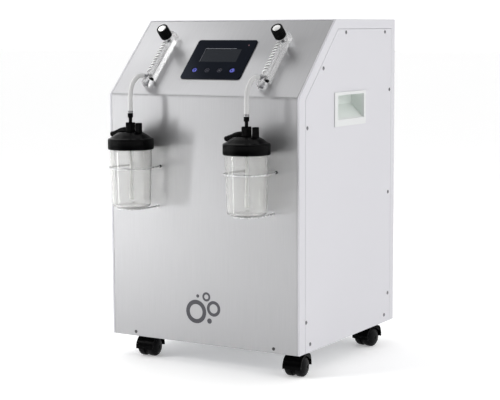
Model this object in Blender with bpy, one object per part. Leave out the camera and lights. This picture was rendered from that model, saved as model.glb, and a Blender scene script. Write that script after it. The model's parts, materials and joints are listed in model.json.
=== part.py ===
"""Oxygen concentrator: a steel cabinet on four casters, with two flowmeters, two humidifier bottles and
the compressor, sieve beds and fan inside.

Units are metres. X is to the right of someone facing the front, -Y is the front and Z is up. The floor
is Z = 0 and the origin is under the middle of the outer box.
"""

import math

import bmesh
import bpy
from mathutils import Matrix, Vector

# Driving dimensions
CABINET_WIDTH = 0.380
CABINET_DEPTH = 0.360
BODY_BOTTOM = 0.038
FRONT_HEIGHT = 0.4265
SLOPE_RISE = 0.128
SHEET = 0.002
SIDE_THICKNESS = 0.004
GAP = 0.0003
STATION_X = 0.1155
BOTTLE_REACH = 0.0424
LID_RADIUS = 0.0393

# Places that follow from them
TOTAL_DEPTH = CABINET_DEPTH + BOTTLE_REACH + LID_RADIUS
FRONT_Y = BOTTLE_REACH + LID_RADIUS - TOTAL_DEPTH / 2
REAR_Y = TOTAL_DEPTH / 2
MIDDLE_Y = (FRONT_Y + REAR_Y) / 2
BOTTLE_Y = FRONT_Y - BOTTLE_REACH
BEND_Z = BODY_BOTTOM + FRONT_HEIGHT
TOP_Z = BEND_Z + SLOPE_RISE
HALF_WIDTH = CABINET_WIDTH / 2
INNER_HALF = HALF_WIDTH - SIDE_THICKNESS - GAP

# How far a cutting shape reaches past the surface that it cuts, and a joined shape into its neighbour
PAST = 0.010
BURY = 0.002

# Cabinet
BEND_RADIUS = 0.008
TRAY_THICKNESS = 0.003
COVER_THICKNESS = 0.0017
SEAM = 0.0004
SEAM_FRONT = 0.021
SEAM_REAR = 0.015
SEAM_TOP = 0.0165
SEAM_SLOPE = 0.0177
SEAT_WIDTH = 0.012
REAR_RECESS = 0.006
REAR_FACE = REAR_Y - REAR_RECESS

# Hand grip in each side cover, with a rim of its own width on every side
CUP_Y = MIDDLE_Y + 0.003
CUP_LENGTH = 0.098
CUP_BOTTOM_Z = 0.4220
CUP_TOP_Z = 0.4635
CUP_BACK_HEIGHT = 0.0175
CUP_DEPTH = 0.024
CUP_WALL = 0.0018
CUP_RIM_FRONT = 0.0118
CUP_RIM_REAR = 0.0070
CUP_RIM_BOTTOM = 0.0115
CUP_RIM_TOP = 0.0055
CUP_RIM_THICKNESS = 0.0012

# Fan and the slots in front of it
FAN_X = -0.085
FAN_Z = 0.118
FAN_SIZE = 0.120
FAN_DEPTH = 0.025
FAN_CLEARANCE = 0.002
FAN_BRIDGE = 0.003
FAN_BRIDGE_HALF = 0.004
FAN_SEAT = 0.004
FAN_SEAT_RADIUS = 0.018
FAN_HUB_RADIUS = 0.020
FAN_BLADES = 7
FAN_BLADE_HALF = 0.010
FAN_BLADE_THICKNESS = 0.0018
FAN_BLADE_TIP_GAP = 0.0045
FAN_BLADE_LEAN = 38
FAN_SLOTS = 9
FAN_SLOT_PITCH = 0.0115
FAN_SLOT_LENGTH = 0.100
FAN_SLOT_HEIGHT = 0.006

# Mains inlet
INLET_X = 0.115
INLET_Z = 0.100
INLET_WIDTH = 0.028
INLET_HEIGHT = 0.022
INLET_DEPTH = 0.020
FLANGE_WIDTH = 0.050
FLANGE_HEIGHT = 0.030
FLANGE_THICKNESS = 0.0025
SOCKET_WIDTH = 0.024
SOCKET_HEIGHT = 0.017
SOCKET_DEPTH = 0.016

# Filter and its door
DOOR_WIDTH = 0.156
DOOR_HEIGHT = 0.126
DOOR_Z = 0.440
DOOR_THICKNESS = 0.0035
DOOR_SLOTS = 8
DOOR_SLOT_PITCH = 0.0125
DOOR_SLOT_HEIGHT = 0.007
DOOR_SLOT_MARGIN = 0.018
FILTER_WIDTH = 0.140
FILTER_HEIGHT = 0.110
FILTER_DEPTH = 0.010

# Control panel, measured from the bend up the slope
OVERLAY_HALF_WIDTH = 0.060
OVERLAY_LOW = 0.0385
OVERLAY_HIGH = 0.1300
OVERLAY_CORNER = 0.005
OVERLAY_THICKNESS = 0.0015
OVERLAY_TOP = GAP + OVERLAY_THICKNESS
WINDOW_HALF_WIDTH = 0.054
WINDOW_LOW = 0.045
WINDOW_HIGH = 0.122
BOARD_MARGIN = 0.001
BOARD_DEPTH = 0.014
BOARD_FACE = 0.0026
SCREEN_HALF_WIDTH = 0.0365
SCREEN_LOW = 0.0780
SCREEN_HIGH = 0.1090
SCREEN_SINK = 0.0002
KEY_RADIUS = 0.0052
KEY_LENGTH = 0.0026
KEY_ROW = 0.0583
KEYS = {"power": -0.038, "minus": -0.0125, "plus": 0.0125, "timer": 0.038}

# Flowmeter, measured from the bend up the slope and out from the panel
METER_HALF_WIDTH = 0.0085
METER_AXIS_HEIGHT = 0.0095
METER_LOW = 0.0170
METER_HIGH = 0.1370
TUBE_BORE = 0.0033
TUBE_TOP = 0.1080
FLOAT_RADIUS = 0.0028
FLOAT_TIP_RADIUS = 0.0012
FLOAT_CONE = 0.0035
FLOAT_LOW = 0.0300
FLOAT_LENGTH = 0.0080
KNOB_UP = 0.1200
KNOB_BASE = 0.0205
KNOB_RADIUS = 0.0105
KNOB_LENGTH = 0.0210
KNOB_EDGE = 0.0010
KNOB_DISH_RADIUS = 0.0088
KNOB_DISH_DEPTH = 0.0008
KNOB_BOSS_RADIUS = 0.0058
KNOB_BOSS_LENGTH = 0.0018
SPINDLE_RADIUS = 0.0030
SPINDLE_LENGTH = 0.0125
SPINDLE_WAY_FLOOR = 0.0060
PLUG_RADIUS = 0.0045
PLUG_EDGE = 0.0010
PLUG_HEAD = 0.0028
PLUG_LENGTH = 0.0080
OUTLET_UP = 0.0280
OUTLET_HEIGHT = 0.0190
OUTLET_START = 0.0014
OUTLET_TIP_Y = FRONT_Y - 0.0040
COLLAR_RADIUS = 0.0050
COLLAR_LOW = 0.0183
COLLAR_HIGH = 0.0215
NIPPLE_RADIUS = 0.0028

# Humidifier bottle, heights above the floor
JAR_BOTTOM_Z = 0.2743
JAR_FOOT_RADIUS = 0.0328
JAR_SHOULDER_RADIUS = 0.0360
JAR_NECK_RADIUS = 0.0364
JAR_NECK_Z = 0.3720
JAR_TOP_Z = 0.3840
JAR_WALL = 0.0020
JAR_FLOOR = 0.0025
JAR_FOOT_EDGE = 0.0030
LID_LOW_Z = 0.3737
LID_RIM_Z = 0.3920
LID_DOME_Z = 0.4028
LID_DOME_RADIUS = 0.0205
LID_DOME_RISE = 0.0010
LID_EDGE = 0.0015
LID_CLEARANCE = 0.0005
LID_CEILING_Z = JAR_TOP_Z + 0.0020
TURRET_RADIUS = 0.0083
TURRET_TOP_Z = 0.4195
VALVE_OFFSET = 0.0172
VALVE_RADIUS = 0.0057
VALVE_ROOT = 0.0080
VALVE_TOP_Z = 0.4190
OUTLET_ROOT = (-0.0040, 0.0, 0.4062)
OUTLET_TIP = (-0.0410, 0.0, 0.3970)
OUTLET_ROOT_RADIUS = 0.0036
OUTLET_TIP_RADIUS = 0.0026
STEM_RADIUS = 0.0030
NUT_RADIUS = 0.0047
NUT_LOW_Z = 0.4274
NUT_HIGH_Z = 0.4351
DIFFUSER_LOW_Z = 0.2870
DIFFUSER_HIGH_Z = 0.3070
DIFFUSER_RADIUS = 0.0040
DIFFUSER_TUBE_RADIUS = 0.0025
DIFFUSER_TAPER = 0.0020
RING_Z = 0.3420
RING_RADIUS = 0.0374
RING_ARM = 0.0310
RING_ARM_LENGTH = 0.0120
RING_JOIN = 10
REST_Z = 0.2725
REST_HALF = 0.0245
WIRE_RADIUS = 0.0015
WIRE_TAIL = 0.008
WIRE_CLEARANCE = 0.0005
HOSE_RADIUS = 0.0040
# Route of a hose: distance in front of the front panel, and height
HOSE_ROUTE = [
    (0.0043, 0.4977), (0.0090, 0.4979), (0.0145, 0.4975), (0.0205, 0.4957), (0.0263, 0.4926),
    (0.0315, 0.4883), (0.0358, 0.4830), (0.0390, 0.4769), (0.0411, 0.4703), (0.0421, 0.4632),
    (0.0424, 0.4558), (0.0424, 0.4490), (0.0424, 0.4422), (0.0424, 0.4354),
]

# Casters: where each swivels and which way it is turned, in degrees
CASTERS = {
    "front_left": (-0.128, FRONT_Y + 0.0385, 3.0),
    "front_right": (0.1735, FRONT_Y + 0.0335, 3.0),
    "rear_left": (-0.128, REAR_Y - 0.0600, -7.0),
    "rear_right": (0.1750, REAR_Y - 0.0600, -12.0),
}
WHEEL_RADIUS = 0.0170
WHEEL_INNER = 0.0026
WHEEL_OUTER = 0.0164
WHEEL_EDGE = 0.0010
WHEEL_SHOULDER = 0.0030
WHEEL_SHOULDER_WIDTH = 0.0040
WHEEL_DOME = 0.0030
WHEEL_FLAT = 0.0024
WHEEL_FLAT_RADIUS = 0.0080
TRAIL = 0.0145
HOOD_OUTER = 0.0202
HOOD_INNER = 0.0176
HOOD_HALF_WIDTH = 0.0170
HOOD_REAR = 0.0078
HOOD_TOP_Z = 0.0372
HOOD_EDGE = 0.0040
HOOD_WALL = 0.0024
HOOD_REAR_LOW_Z = 0.0255
HOOD_REAR_INNER_Z = 0.0310
HOOD_FRONT_ANGLE = 188
WEB_RADIUS = 0.0150
WEB_TOP_Z = 0.0360
WEB_FOOT = (-0.0040, 0.0120)
BOSS_RADIUS = 0.0085
BOSS_LOW_Z = 0.0350
AXLE_RADIUS = 0.0025
AXLE_END = 0.0010
CASTER_STEM_RADIUS = 0.0040
CASTER_STEM_LOW_Z = 0.0365
CASTER_STEM_RISE = 0.0075

# Inner parts
INNER_FLOOR = BODY_BOTTOM + TRAY_THICKNESS + GAP
COMPRESSOR_Y = FRONT_Y + 0.110
DECK_RISE = 0.018
DECK_THICKNESS = 0.005
DECK_LEFT = -0.105
DECK_RIGHT = 0.090
DECK_HALF_DEPTH = 0.055
MOTOR_RADIUS = 0.050
MOTOR_LEFT = -0.060
MOTOR_RIGHT = 0.045
MOTOR_RISE = 0.008
HEAD_LEFTS = (-0.100, 0.040)
HEAD_WIDTH = 0.045
HEAD_HALF_DEPTH = 0.045
HEAD_RISE = 0.062
FOOT_XS = (-0.095, 0.080)
FOOT_RADIUS = 0.009
BED_X = 0.062
BED_Y = REAR_Y - 0.090
BED_RADIUS = 0.036
BED_WAIST = 0.003
BED_HEIGHT = 0.330
BED_CAP = 0.014
MANIFOLD_HALF_WIDTH = 0.095
MANIFOLD_HALF_DEPTH = 0.025
MANIFOLD_HEIGHT = 0.030
COIL_XS = (-0.060, -0.020, 0.020, 0.060)
COIL_RADIUS = 0.012
COIL_HEIGHT = 0.028
TANK_X = 0.147
TANK_Y = FRONT_Y + 0.110
TANK_RADIUS = 0.032
TANK_HEIGHT = 0.260
TANK_FOOT_EDGE = 0.007
TANK_SHOULDER = 0.012
TANK_PORT_RADIUS = 0.006
TANK_PORT_LENGTH = 0.012

COLOURS = {
    # name: (red, green, blue, metallic, roughness, alpha)
    "brushed_steel": (0.72, 0.72, 0.73, 1.0, 0.38, 1.0),
    "white_paint": (0.83, 0.83, 0.84, 0.0, 0.45, 1.0),
    "grey_plate": (0.55, 0.56, 0.58, 0.6, 0.50, 1.0),
    "cup_plastic": (0.78, 0.80, 0.78, 0.0, 0.40, 1.0),
    "black_gloss": (0.012, 0.013, 0.018, 0.0, 0.12, 1.0),
    "screen_glass": (0.06, 0.07, 0.09, 0.0, 0.08, 1.0),
    "key_face": (0.03, 0.03, 0.06, 0.0, 0.20, 1.0),
    "clear_acrylic": (0.90, 0.92, 0.93, 0.0, 0.06, 0.35),
    "clear_jar": (0.90, 0.91, 0.92, 0.0, 0.08, 0.35),
    "milky_plastic": (0.84, 0.85, 0.85, 0.0, 0.35, 0.8),
    "silicone": (0.86, 0.86, 0.86, 0.0, 0.40, 0.8),
    "black_plastic": (0.015, 0.015, 0.017, 0.0, 0.35, 1.0),
    "chrome": (0.80, 0.80, 0.82, 1.0, 0.12, 1.0),
    "wheel_rubber": (0.020, 0.020, 0.022, 0.0, 0.50, 1.0),
    "cast_aluminium": (0.60, 0.61, 0.62, 1.0, 0.55, 1.0),
    "filter_foam": (0.06, 0.06, 0.065, 0.0, 0.95, 1.0),
}

# Slope frame: local X is to the right, local Y is up the slope and local Z is out of the panel
SLOPE_TURN = Matrix.Rotation(math.radians(45), 4, "X")


def on_slope(x, up, out):
    """The point at a distance up the slope from the bend and out from its face."""
    diagonal = math.sqrt(2)
    return Vector((x, FRONT_Y + (up - out) / diagonal, BEND_Z + (up + out) / diagonal))


def slope_place(x, up, out):
    return Matrix.Translation(on_slope(x, up, out)) @ SLOPE_TURN


def clear_scene():
    for thing in list(bpy.data.objects):
        bpy.data.objects.remove(thing, do_unlink=True)


def material(name):
    found = bpy.data.materials.get(name)
    if found:
        return found
    red, green, blue, metallic, roughness, alpha = COLOURS[name]
    made = bpy.data.materials.new(name)
    made.use_nodes = True
    shader = made.node_tree.nodes["Principled BSDF"]
    shader.inputs["Base Color"].default_value = (red, green, blue, 1.0)
    shader.inputs["Metallic"].default_value = metallic
    shader.inputs["Roughness"].default_value = roughness
    shader.inputs["Alpha"].default_value = alpha
    return made


# Shapes, each a closed bmesh


def box(low, high):
    shape = bmesh.new()
    bmesh.ops.create_cube(shape, size=1.0)
    low, high = Vector(low), Vector(high)
    bmesh.ops.scale(shape, vec=high - low, verts=shape.verts)
    bmesh.ops.translate(shape, vec=(low + high) / 2, verts=shape.verts)
    return shape


def block(centre, size):
    """A box by its centre and its size."""
    centre, half = Vector(centre), Vector(size) / 2
    return box(centre - half, centre + half)


def rod(start, end, radius, sides=16, end_radius=None):
    """A cylinder, or a cone, from one point to another."""
    start, end = Vector(start), Vector(end)
    along = end - start
    turn = Vector((0, 0, 1)).rotation_difference(along).to_matrix().to_4x4()
    shape = bmesh.new()
    bmesh.ops.create_cone(
        shape,
        cap_ends=True,
        segments=sides,
        radius1=radius,
        radius2=radius if end_radius is None else end_radius,
        depth=along.length,
        matrix=Matrix.Translation((start + end) / 2) @ turn,
    )
    return shape


def prism(outline, low, high, place=None):
    """An outline in local XY, raised from one height to another along local Z."""
    shape = bmesh.new()
    bottom = [shape.verts.new((x, y, low)) for x, y in outline]
    top = [shape.verts.new((x, y, high)) for x, y in outline]
    shape.faces.new(bottom)
    shape.faces.new(top)
    for i in range(len(outline)):
        j = (i + 1) % len(outline)
        shape.faces.new((bottom[i], bottom[j], top[j], top[i]))
    if place is not None:
        bmesh.ops.transform(shape, matrix=place, verts=shape.verts)
    bmesh.ops.recalc_face_normals(shape, faces=shape.faces)
    return shape


def turned(profile, sides, closed=False):
    """A profile of (radius, height) points spun about Z; a closed profile makes a ring."""
    shape = bmesh.new()
    rings = []
    for radius, height in profile:
        if radius < 1e-7:
            rings.append([shape.verts.new((0, 0, height))])
            continue
        ring = []
        for i in range(sides):
            angle = 2 * math.pi * i / sides
            ring.append(shape.verts.new((radius * math.cos(angle), radius * math.sin(angle), height)))
        rings.append(ring)
    pairs = list(zip(rings, rings[1:]))
    if closed:
        pairs.append((rings[-1], rings[0]))
    for lower, upper in pairs:
        for i in range(sides):
            corners = [lower[i % len(lower)], lower[(i + 1) % len(lower)]]
            corners += [upper[(i + 1) % len(upper)], upper[i % len(upper)]]
            distinct = list(dict.fromkeys(corners))
            shape.faces.new(distinct)
    bmesh.ops.recalc_face_normals(shape, faces=shape.faces)
    return shape


def gathered(shapes):
    """Several separate shapes in one mesh, to cut or join them in one go."""
    whole = bmesh.new()
    for shape in shapes:
        mesh = bpy.data.meshes.new("gathered")
        shape.to_mesh(mesh)
        shape.free()
        whole.from_mesh(mesh)
        bpy.data.meshes.remove(mesh)
    return whole


def slot_row(centre, size, count, pitch):
    """A column of equal slots, one above another."""
    slots = []
    for i in range(count):
        rise = Vector((0, 0, (i - (count - 1) / 2) * pitch))
        slots.append(block(Vector(centre) + rise, size))
    return gathered(slots)


def arc(centre, radius, start, end, steps):
    """Points along an arc, with angles in degrees."""
    points = []
    for i in range(steps + 1):
        angle = math.radians(start + (end - start) * i / steps)
        points.append((centre[0] + radius * math.cos(angle), centre[1] + radius * math.sin(angle)))
    return points


def rounded_rectangle(low, high, radius, steps=3):
    (x0, y0), (x1, y1) = low, high
    points = arc((x1 - radius, y0 + radius), radius, -90, 0, steps)
    points += arc((x1 - radius, y1 - radius), radius, 0, 90, steps)
    points += arc((x0 + radius, y1 - radius), radius, 90, 180, steps)
    points += arc((x0 + radius, y0 + radius), radius, 180, 270, steps)
    return points


def put(name, shape, finish, place=None, joined=(), cut=(), added=()):
    """An object from a shape: some shapes are joined to it, some cut out of that, and some added after."""
    thing = new_object(name, shape, place)
    thing.data.materials.append(material(finish))
    steps = [("UNION", tool) for tool in joined]
    steps += [("DIFFERENCE", tool) for tool in cut]
    steps += [("UNION", tool) for tool in added]
    for i, (operation, tool) in enumerate(steps):
        helper = new_object(f"{name}_tool_{i}", tool, place)
        helper.hide_render = True
        helper.display_type = "WIRE"
        modifier = thing.modifiers.new(helper.name, "BOOLEAN")
        modifier.operation = operation
        modifier.solver = "EXACT"
        modifier.object = helper
    return thing


def new_object(name, shape, place=None):
    mesh = bpy.data.meshes.new(name)
    bmesh.ops.recalc_face_normals(shape, faces=shape.faces)
    shape.to_mesh(mesh)
    shape.free()
    mesh.shade_smooth()
    mesh.set_sharp_from_angle(angle=math.radians(35))
    thing = bpy.data.objects.new(name, mesh)
    bpy.context.scene.collection.objects.link(thing)
    if place is not None:
        thing.matrix_world = place
    return thing


def wire(name, points, radius, finish, resolution=2):
    """A round wire or hose along points, with filled ends."""
    curve = bpy.data.curves.new(name, "CURVE")
    curve.dimensions = "3D"
    curve.bevel_depth = radius
    curve.bevel_resolution = resolution
    curve.resolution_u = 1
    curve.use_fill_caps = True
    spline = curve.splines.new("POLY")
    spline.points.add(len(points) - 1)
    for point, target in zip(spline.points, points):
        point.co = (*target, 1.0)
    thing = bpy.data.objects.new(name, curve)
    thing.data.materials.append(material(finish))
    bpy.context.scene.collection.objects.link(thing)
    return thing


# Cabinet

# An outline drawn as (Y, Z) stands up with its thickness along X
UPRIGHT = Matrix(((0, 0, 1, 0), (1, 0, 0, 0), (0, 1, 0, 0), (0, 0, 0, 1)))


def bend_corner(radius, inset=0.0):
    """The rounded corner between the front and the slope, for a face that lies inset behind them."""
    tangent = radius * math.tan(math.radians(22.5))
    return arc((FRONT_Y + radius, BEND_Z - tangent), radius - inset, 180, 135, 4)


def side_outline():
    outline = [(FRONT_Y, BODY_BOTTOM), (REAR_Y, BODY_BOTTOM), (REAR_Y, TOP_Z)]
    outline.append((FRONT_Y + SLOPE_RISE, TOP_Z))
    outline += reversed(bend_corner(BEND_RADIUS))
    return outline


def seam_outline(inset, bottom):
    """The side cover's outline, moved in by inset; its lower edge is at bottom."""
    front = FRONT_Y + SEAM_FRONT + inset
    rear = REAR_Y - SEAM_REAR - inset
    top = TOP_Z - SEAM_TOP - inset
    slope_z = BEND_Z + SEAM_FRONT + inset - (SEAM_SLOPE + inset) * math.sqrt(2)
    slope_y = front + (top - slope_z)
    return [(front, bottom), (rear, bottom), (rear, top), (slope_y, top), (front, slope_z)]


def sideways_prism(outline, first, second):
    """An upright outline that is as thick as the distance between two X places, in either order."""
    return prism(outline, min(first, second), max(first, second), UPRIGHT)


def make_cabinet_shell():
    shell = prism(side_outline(), -HALF_WIDTH, HALF_WIDTH, UPRIGHT)
    hollow_half = HALF_WIDTH - SIDE_THICKNESS
    hollow = box(
        (-hollow_half, FRONT_Y - PAST, BODY_BOTTOM - PAST),
        (hollow_half, REAR_Y + PAST, TOP_Z - SHEET),
    )
    seats, ways = [], []
    for side in (-1, 1):
        outside = side * (HALF_WIDTH + PAST)
        seat = side * (HALF_WIDTH - COVER_THICKNESS - GAP)
        inside = side * (HALF_WIDTH - SIDE_THICKNESS - PAST)
        seats.append(sideways_prism(seam_outline(0.0, BODY_BOTTOM - PAST), seat, outside))
        ways.append(sideways_prism(seam_outline(SEAT_WIDTH, BODY_BOTTOM + SEAT_WIDTH), inside, outside))
    put("cabinet_shell", shell, "white_paint", cut=(hollow, gathered(seats), gathered(ways)))


def make_front_panel():
    slope_end = TOP_Z - SHEET - GAP
    slope_y = FRONT_Y + slope_end - BEND_Z
    thickness_run = SHEET * math.sqrt(2)
    outline = [(FRONT_Y, BODY_BOTTOM)]
    outline += bend_corner(BEND_RADIUS)
    outline.append((slope_y, slope_end))
    outline.append((slope_y + thickness_run, slope_end))
    outline += reversed(bend_corner(BEND_RADIUS, SHEET))
    outline.append((FRONT_Y + SHEET, BODY_BOTTOM))
    panel = prism(outline, -INNER_HALF, INNER_HALF, UPRIGHT)
    window = box((-WINDOW_HALF_WIDTH, WINDOW_LOW, -PAST), (WINDOW_HALF_WIDTH, WINDOW_HIGH, PAST))
    bmesh.ops.transform(window, matrix=slope_place(0, 0, 0), verts=window.verts)
    holes = []
    for side in (-1, 1):
        for half, height in ((RING_ARM, RING_Z), (REST_HALF, REST_Z)):
            for arm in (-1, 1):
                x = side * STATION_X + arm * half
                start, end = (x, FRONT_Y - PAST, height), (x, FRONT_Y + PAST, height)
                holes.append(rod(start, end, WIRE_RADIUS + WIRE_CLEARANCE, 10))
    put("front_panel", panel, "brushed_steel", cut=(window, gathered(holes)))


def make_base_tray():
    front, rear = FRONT_Y + SHEET + GAP, REAR_FACE - SHEET - GAP
    tray = box((-INNER_HALF, front, BODY_BOTTOM), (INNER_HALF, rear, BODY_BOTTOM + TRAY_THICKNESS))
    sockets = []
    for x, y, _turn in CASTERS.values():
        start, end = (x, y, BODY_BOTTOM - PAST), (x, y, BODY_BOTTOM + PAST)
        sockets.append(rod(start, end, CASTER_STEM_RADIUS + GAP, 16))
    put("base_tray", tray, "grey_plate", cut=(gathered(sockets),))


def make_rear_panel():
    panel = box((-INNER_HALF, REAR_FACE - SHEET, BODY_BOTTOM), (INNER_HALF, REAR_FACE, TOP_Z - SHEET - GAP))
    through = 2 * PAST
    around = 2 * GAP
    filter_way = block((0, REAR_FACE, DOOR_Z), (FILTER_WIDTH + around, through, FILTER_HEIGHT + around))
    inlet_size = (INLET_WIDTH + around, through, INLET_HEIGHT + around)
    inlet_way = block((INLET_X, REAR_FACE, INLET_Z), inlet_size)
    slot_size = (FAN_SLOT_LENGTH, through, FAN_SLOT_HEIGHT)
    slots = slot_row((FAN_X, REAR_FACE, FAN_Z), slot_size, FAN_SLOTS, FAN_SLOT_PITCH)
    put("rear_panel", panel, "white_paint", cut=(gathered((filter_way, inlet_way, slots)),))


def make_side_cover(name, side):
    outer = side * HALF_WIDTH
    cover = sideways_prism(seam_outline(SEAM, BODY_BOTTOM), outer, outer - side * COVER_THICKNESS)
    around = 2 * (CUP_WALL + GAP)
    centre = (outer, CUP_Y, (CUP_BOTTOM_Z + CUP_TOP_Z) / 2)
    hole = block(centre, (2 * PAST, CUP_LENGTH + around, CUP_TOP_Z - CUP_BOTTOM_Z + around))
    put(name, cover, "white_paint", cut=(hole,))


def make_handle_cup(name, side):
    """A cup with a rim on the cover, an upright back and a floor that slopes out to the lower edge."""
    half = CUP_LENGTH / 2
    along_y = Matrix(((side, 0, 0, side * HALF_WIDTH), (0, 0, 1, CUP_Y), (0, 1, 0, 0), (0, 0, 0, 1)))
    lift = CUP_RIM_THICKNESS + GAP
    back_foot = CUP_TOP_Z - CUP_BACK_HEIGHT
    top, depth = CUP_TOP_Z + CUP_WALL, CUP_DEPTH + CUP_WALL
    floor_edge = (0.0, CUP_BOTTOM_Z - CUP_WALL)
    body_outline = [(lift, floor_edge[1]), (lift, top), (-depth, top), (-depth, back_foot), floor_edge]
    body = prism(body_outline, -half - CUP_WALL, half + CUP_WALL, along_y)
    rim_low = (GAP, CUP_BOTTOM_Z - CUP_RIM_BOTTOM, -half - CUP_RIM_FRONT)
    rim_high = (lift, CUP_TOP_Z + CUP_RIM_TOP, half + CUP_RIM_REAR)
    rim = box(rim_low, rim_high)
    bmesh.ops.transform(rim, matrix=along_y, verts=rim.verts)
    scoop_outline = [
        (PAST, CUP_BOTTOM_Z), (PAST, CUP_TOP_Z), (-CUP_DEPTH, CUP_TOP_Z), (-CUP_DEPTH, back_foot),
        (0.0, CUP_BOTTOM_Z),
    ]
    scoop = prism(scoop_outline, -half, half, along_y)
    put(name, body, "cup_plastic", joined=(rim,), cut=(scoop,))


# Control panel


def make_control_panel():
    low, high = (-OVERLAY_HALF_WIDTH, OVERLAY_LOW), (OVERLAY_HALF_WIDTH, OVERLAY_HIGH)
    outline = rounded_rectangle(low, high, OVERLAY_CORNER)
    holes = [
        box(
            (-SCREEN_HALF_WIDTH - GAP, SCREEN_LOW - GAP, -PAST),
            (SCREEN_HALF_WIDTH + GAP, SCREEN_HIGH + GAP, PAST),
        )
    ]
    for x in KEYS.values():
        holes.append(rod((x, KEY_ROW, -PAST), (x, KEY_ROW, PAST), KEY_RADIUS + GAP, 20))
    place = slope_place(0, 0, 0)
    put("keypad_overlay", prism(outline, GAP, OVERLAY_TOP), "black_gloss", place, cut=(gathered(holes),))
    board_half = WINDOW_HALF_WIDTH - BOARD_MARGIN
    board_low = (-board_half, WINDOW_LOW + BOARD_MARGIN, -BOARD_DEPTH)
    board = box(board_low, (board_half, WINDOW_HIGH - BOARD_MARGIN, -BOARD_FACE))
    screen_low = (-SCREEN_HALF_WIDTH, SCREEN_LOW, -BOARD_FACE - BURY)
    screen = box(screen_low, (SCREEN_HALF_WIDTH, SCREEN_HIGH, OVERLAY_TOP - SCREEN_SINK))
    put("display_module", board, "screen_glass", place, joined=(screen,))
    for label, x in KEYS.items():
        key = rod((0, 0, -KEY_LENGTH), (0, 0, 0), KEY_RADIUS, 20)
        put(f"key_{label}", key, "key_face", slope_place(x, KEY_ROW, OVERLAY_TOP - SCREEN_SINK))


# Flowmeters


def make_flowmeter(side_name, x):
    prefix = f"{side_name}_flowmeter"
    axis = METER_AXIS_HEIGHT
    outline = [(-METER_HALF_WIDTH, GAP), (METER_HALF_WIDTH, GAP)]
    outline += arc((0, axis), METER_HALF_WIDTH, 0, 180, 10)
    # The outline is drawn as (X, height) and runs up the slope
    lengthways = Matrix(((1, 0, 0, 0), (0, 0, 1, 0), (0, 1, 0, 0), (0, 0, 0, 1)))
    body = prism(outline, METER_LOW, METER_HIGH, lengthways)
    tube = rod((0, METER_LOW - PAST, axis), (0, TUBE_TOP, axis), TUBE_BORE, 16)
    way_low, way_high = (0, KNOB_UP, SPINDLE_WAY_FLOOR), (0, KNOB_UP, KNOB_BASE + PAST)
    spindle_way = rod(way_low, way_high, SPINDLE_RADIUS + GAP, 16)
    put(f"{prefix}_body", body, "clear_acrylic", slope_place(x, 0, 0), cut=(tube, spindle_way))

    bob = turned(
        [
            (0, 0), (FLOAT_TIP_RADIUS, 0), (FLOAT_RADIUS, FLOAT_CONE), (FLOAT_RADIUS, FLOAT_LENGTH),
            (0, FLOAT_LENGTH),
        ],
        16,
    )
    up_slope = Matrix.Rotation(math.radians(-90), 4, "X")
    put(f"{prefix}_float", bob, "black_plastic", slope_place(x, FLOAT_LOW, axis) @ up_slope)

    knob = turned(
        [
            (0, -SPINDLE_LENGTH), (SPINDLE_RADIUS, -SPINDLE_LENGTH), (SPINDLE_RADIUS, -KNOB_BOSS_LENGTH),
            (KNOB_BOSS_RADIUS, -KNOB_BOSS_LENGTH), (KNOB_BOSS_RADIUS, 0), (KNOB_RADIUS - KNOB_EDGE, 0),
            (KNOB_RADIUS, KNOB_EDGE), (KNOB_RADIUS, KNOB_LENGTH - KNOB_EDGE),
            (KNOB_RADIUS - KNOB_EDGE, KNOB_LENGTH), (KNOB_DISH_RADIUS, KNOB_LENGTH),
            (KNOB_DISH_RADIUS, KNOB_LENGTH - KNOB_DISH_DEPTH), (0, KNOB_LENGTH - KNOB_DISH_DEPTH),
        ],
        24,
    )
    put(f"{prefix}_knob", knob, "black_plastic", slope_place(x, KNOB_UP, KNOB_BASE))

    plug_bore = TUBE_BORE - GAP
    plug = turned(
        [
            (0, -PLUG_HEAD), (PLUG_RADIUS - PLUG_EDGE, -PLUG_HEAD), (PLUG_RADIUS, PLUG_EDGE - PLUG_HEAD),
            (PLUG_RADIUS, -GAP), (plug_bore, -GAP), (plug_bore, PLUG_LENGTH), (0, PLUG_LENGTH),
        ],
        16,
    )
    put(f"{prefix}_end_plug", plug, "chrome", slope_place(x, METER_LOW, axis) @ up_slope)

    start = on_slope(x, OUTLET_UP - OUTLET_START, OUTLET_HEIGHT + OUTLET_START)
    collar_low, collar_high = on_slope(x, OUTLET_UP, COLLAR_LOW), on_slope(x, OUTLET_UP, COLLAR_HIGH)
    collar = rod(collar_low, collar_high, COLLAR_RADIUS, 16)
    nipple = rod(start, (x, OUTLET_TIP_Y, start.z), NIPPLE_RADIUS, 12)
    put(f"{prefix}_outlet_barb", collar, "chrome", joined=(nipple,))


# Humidifier bottles


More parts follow.
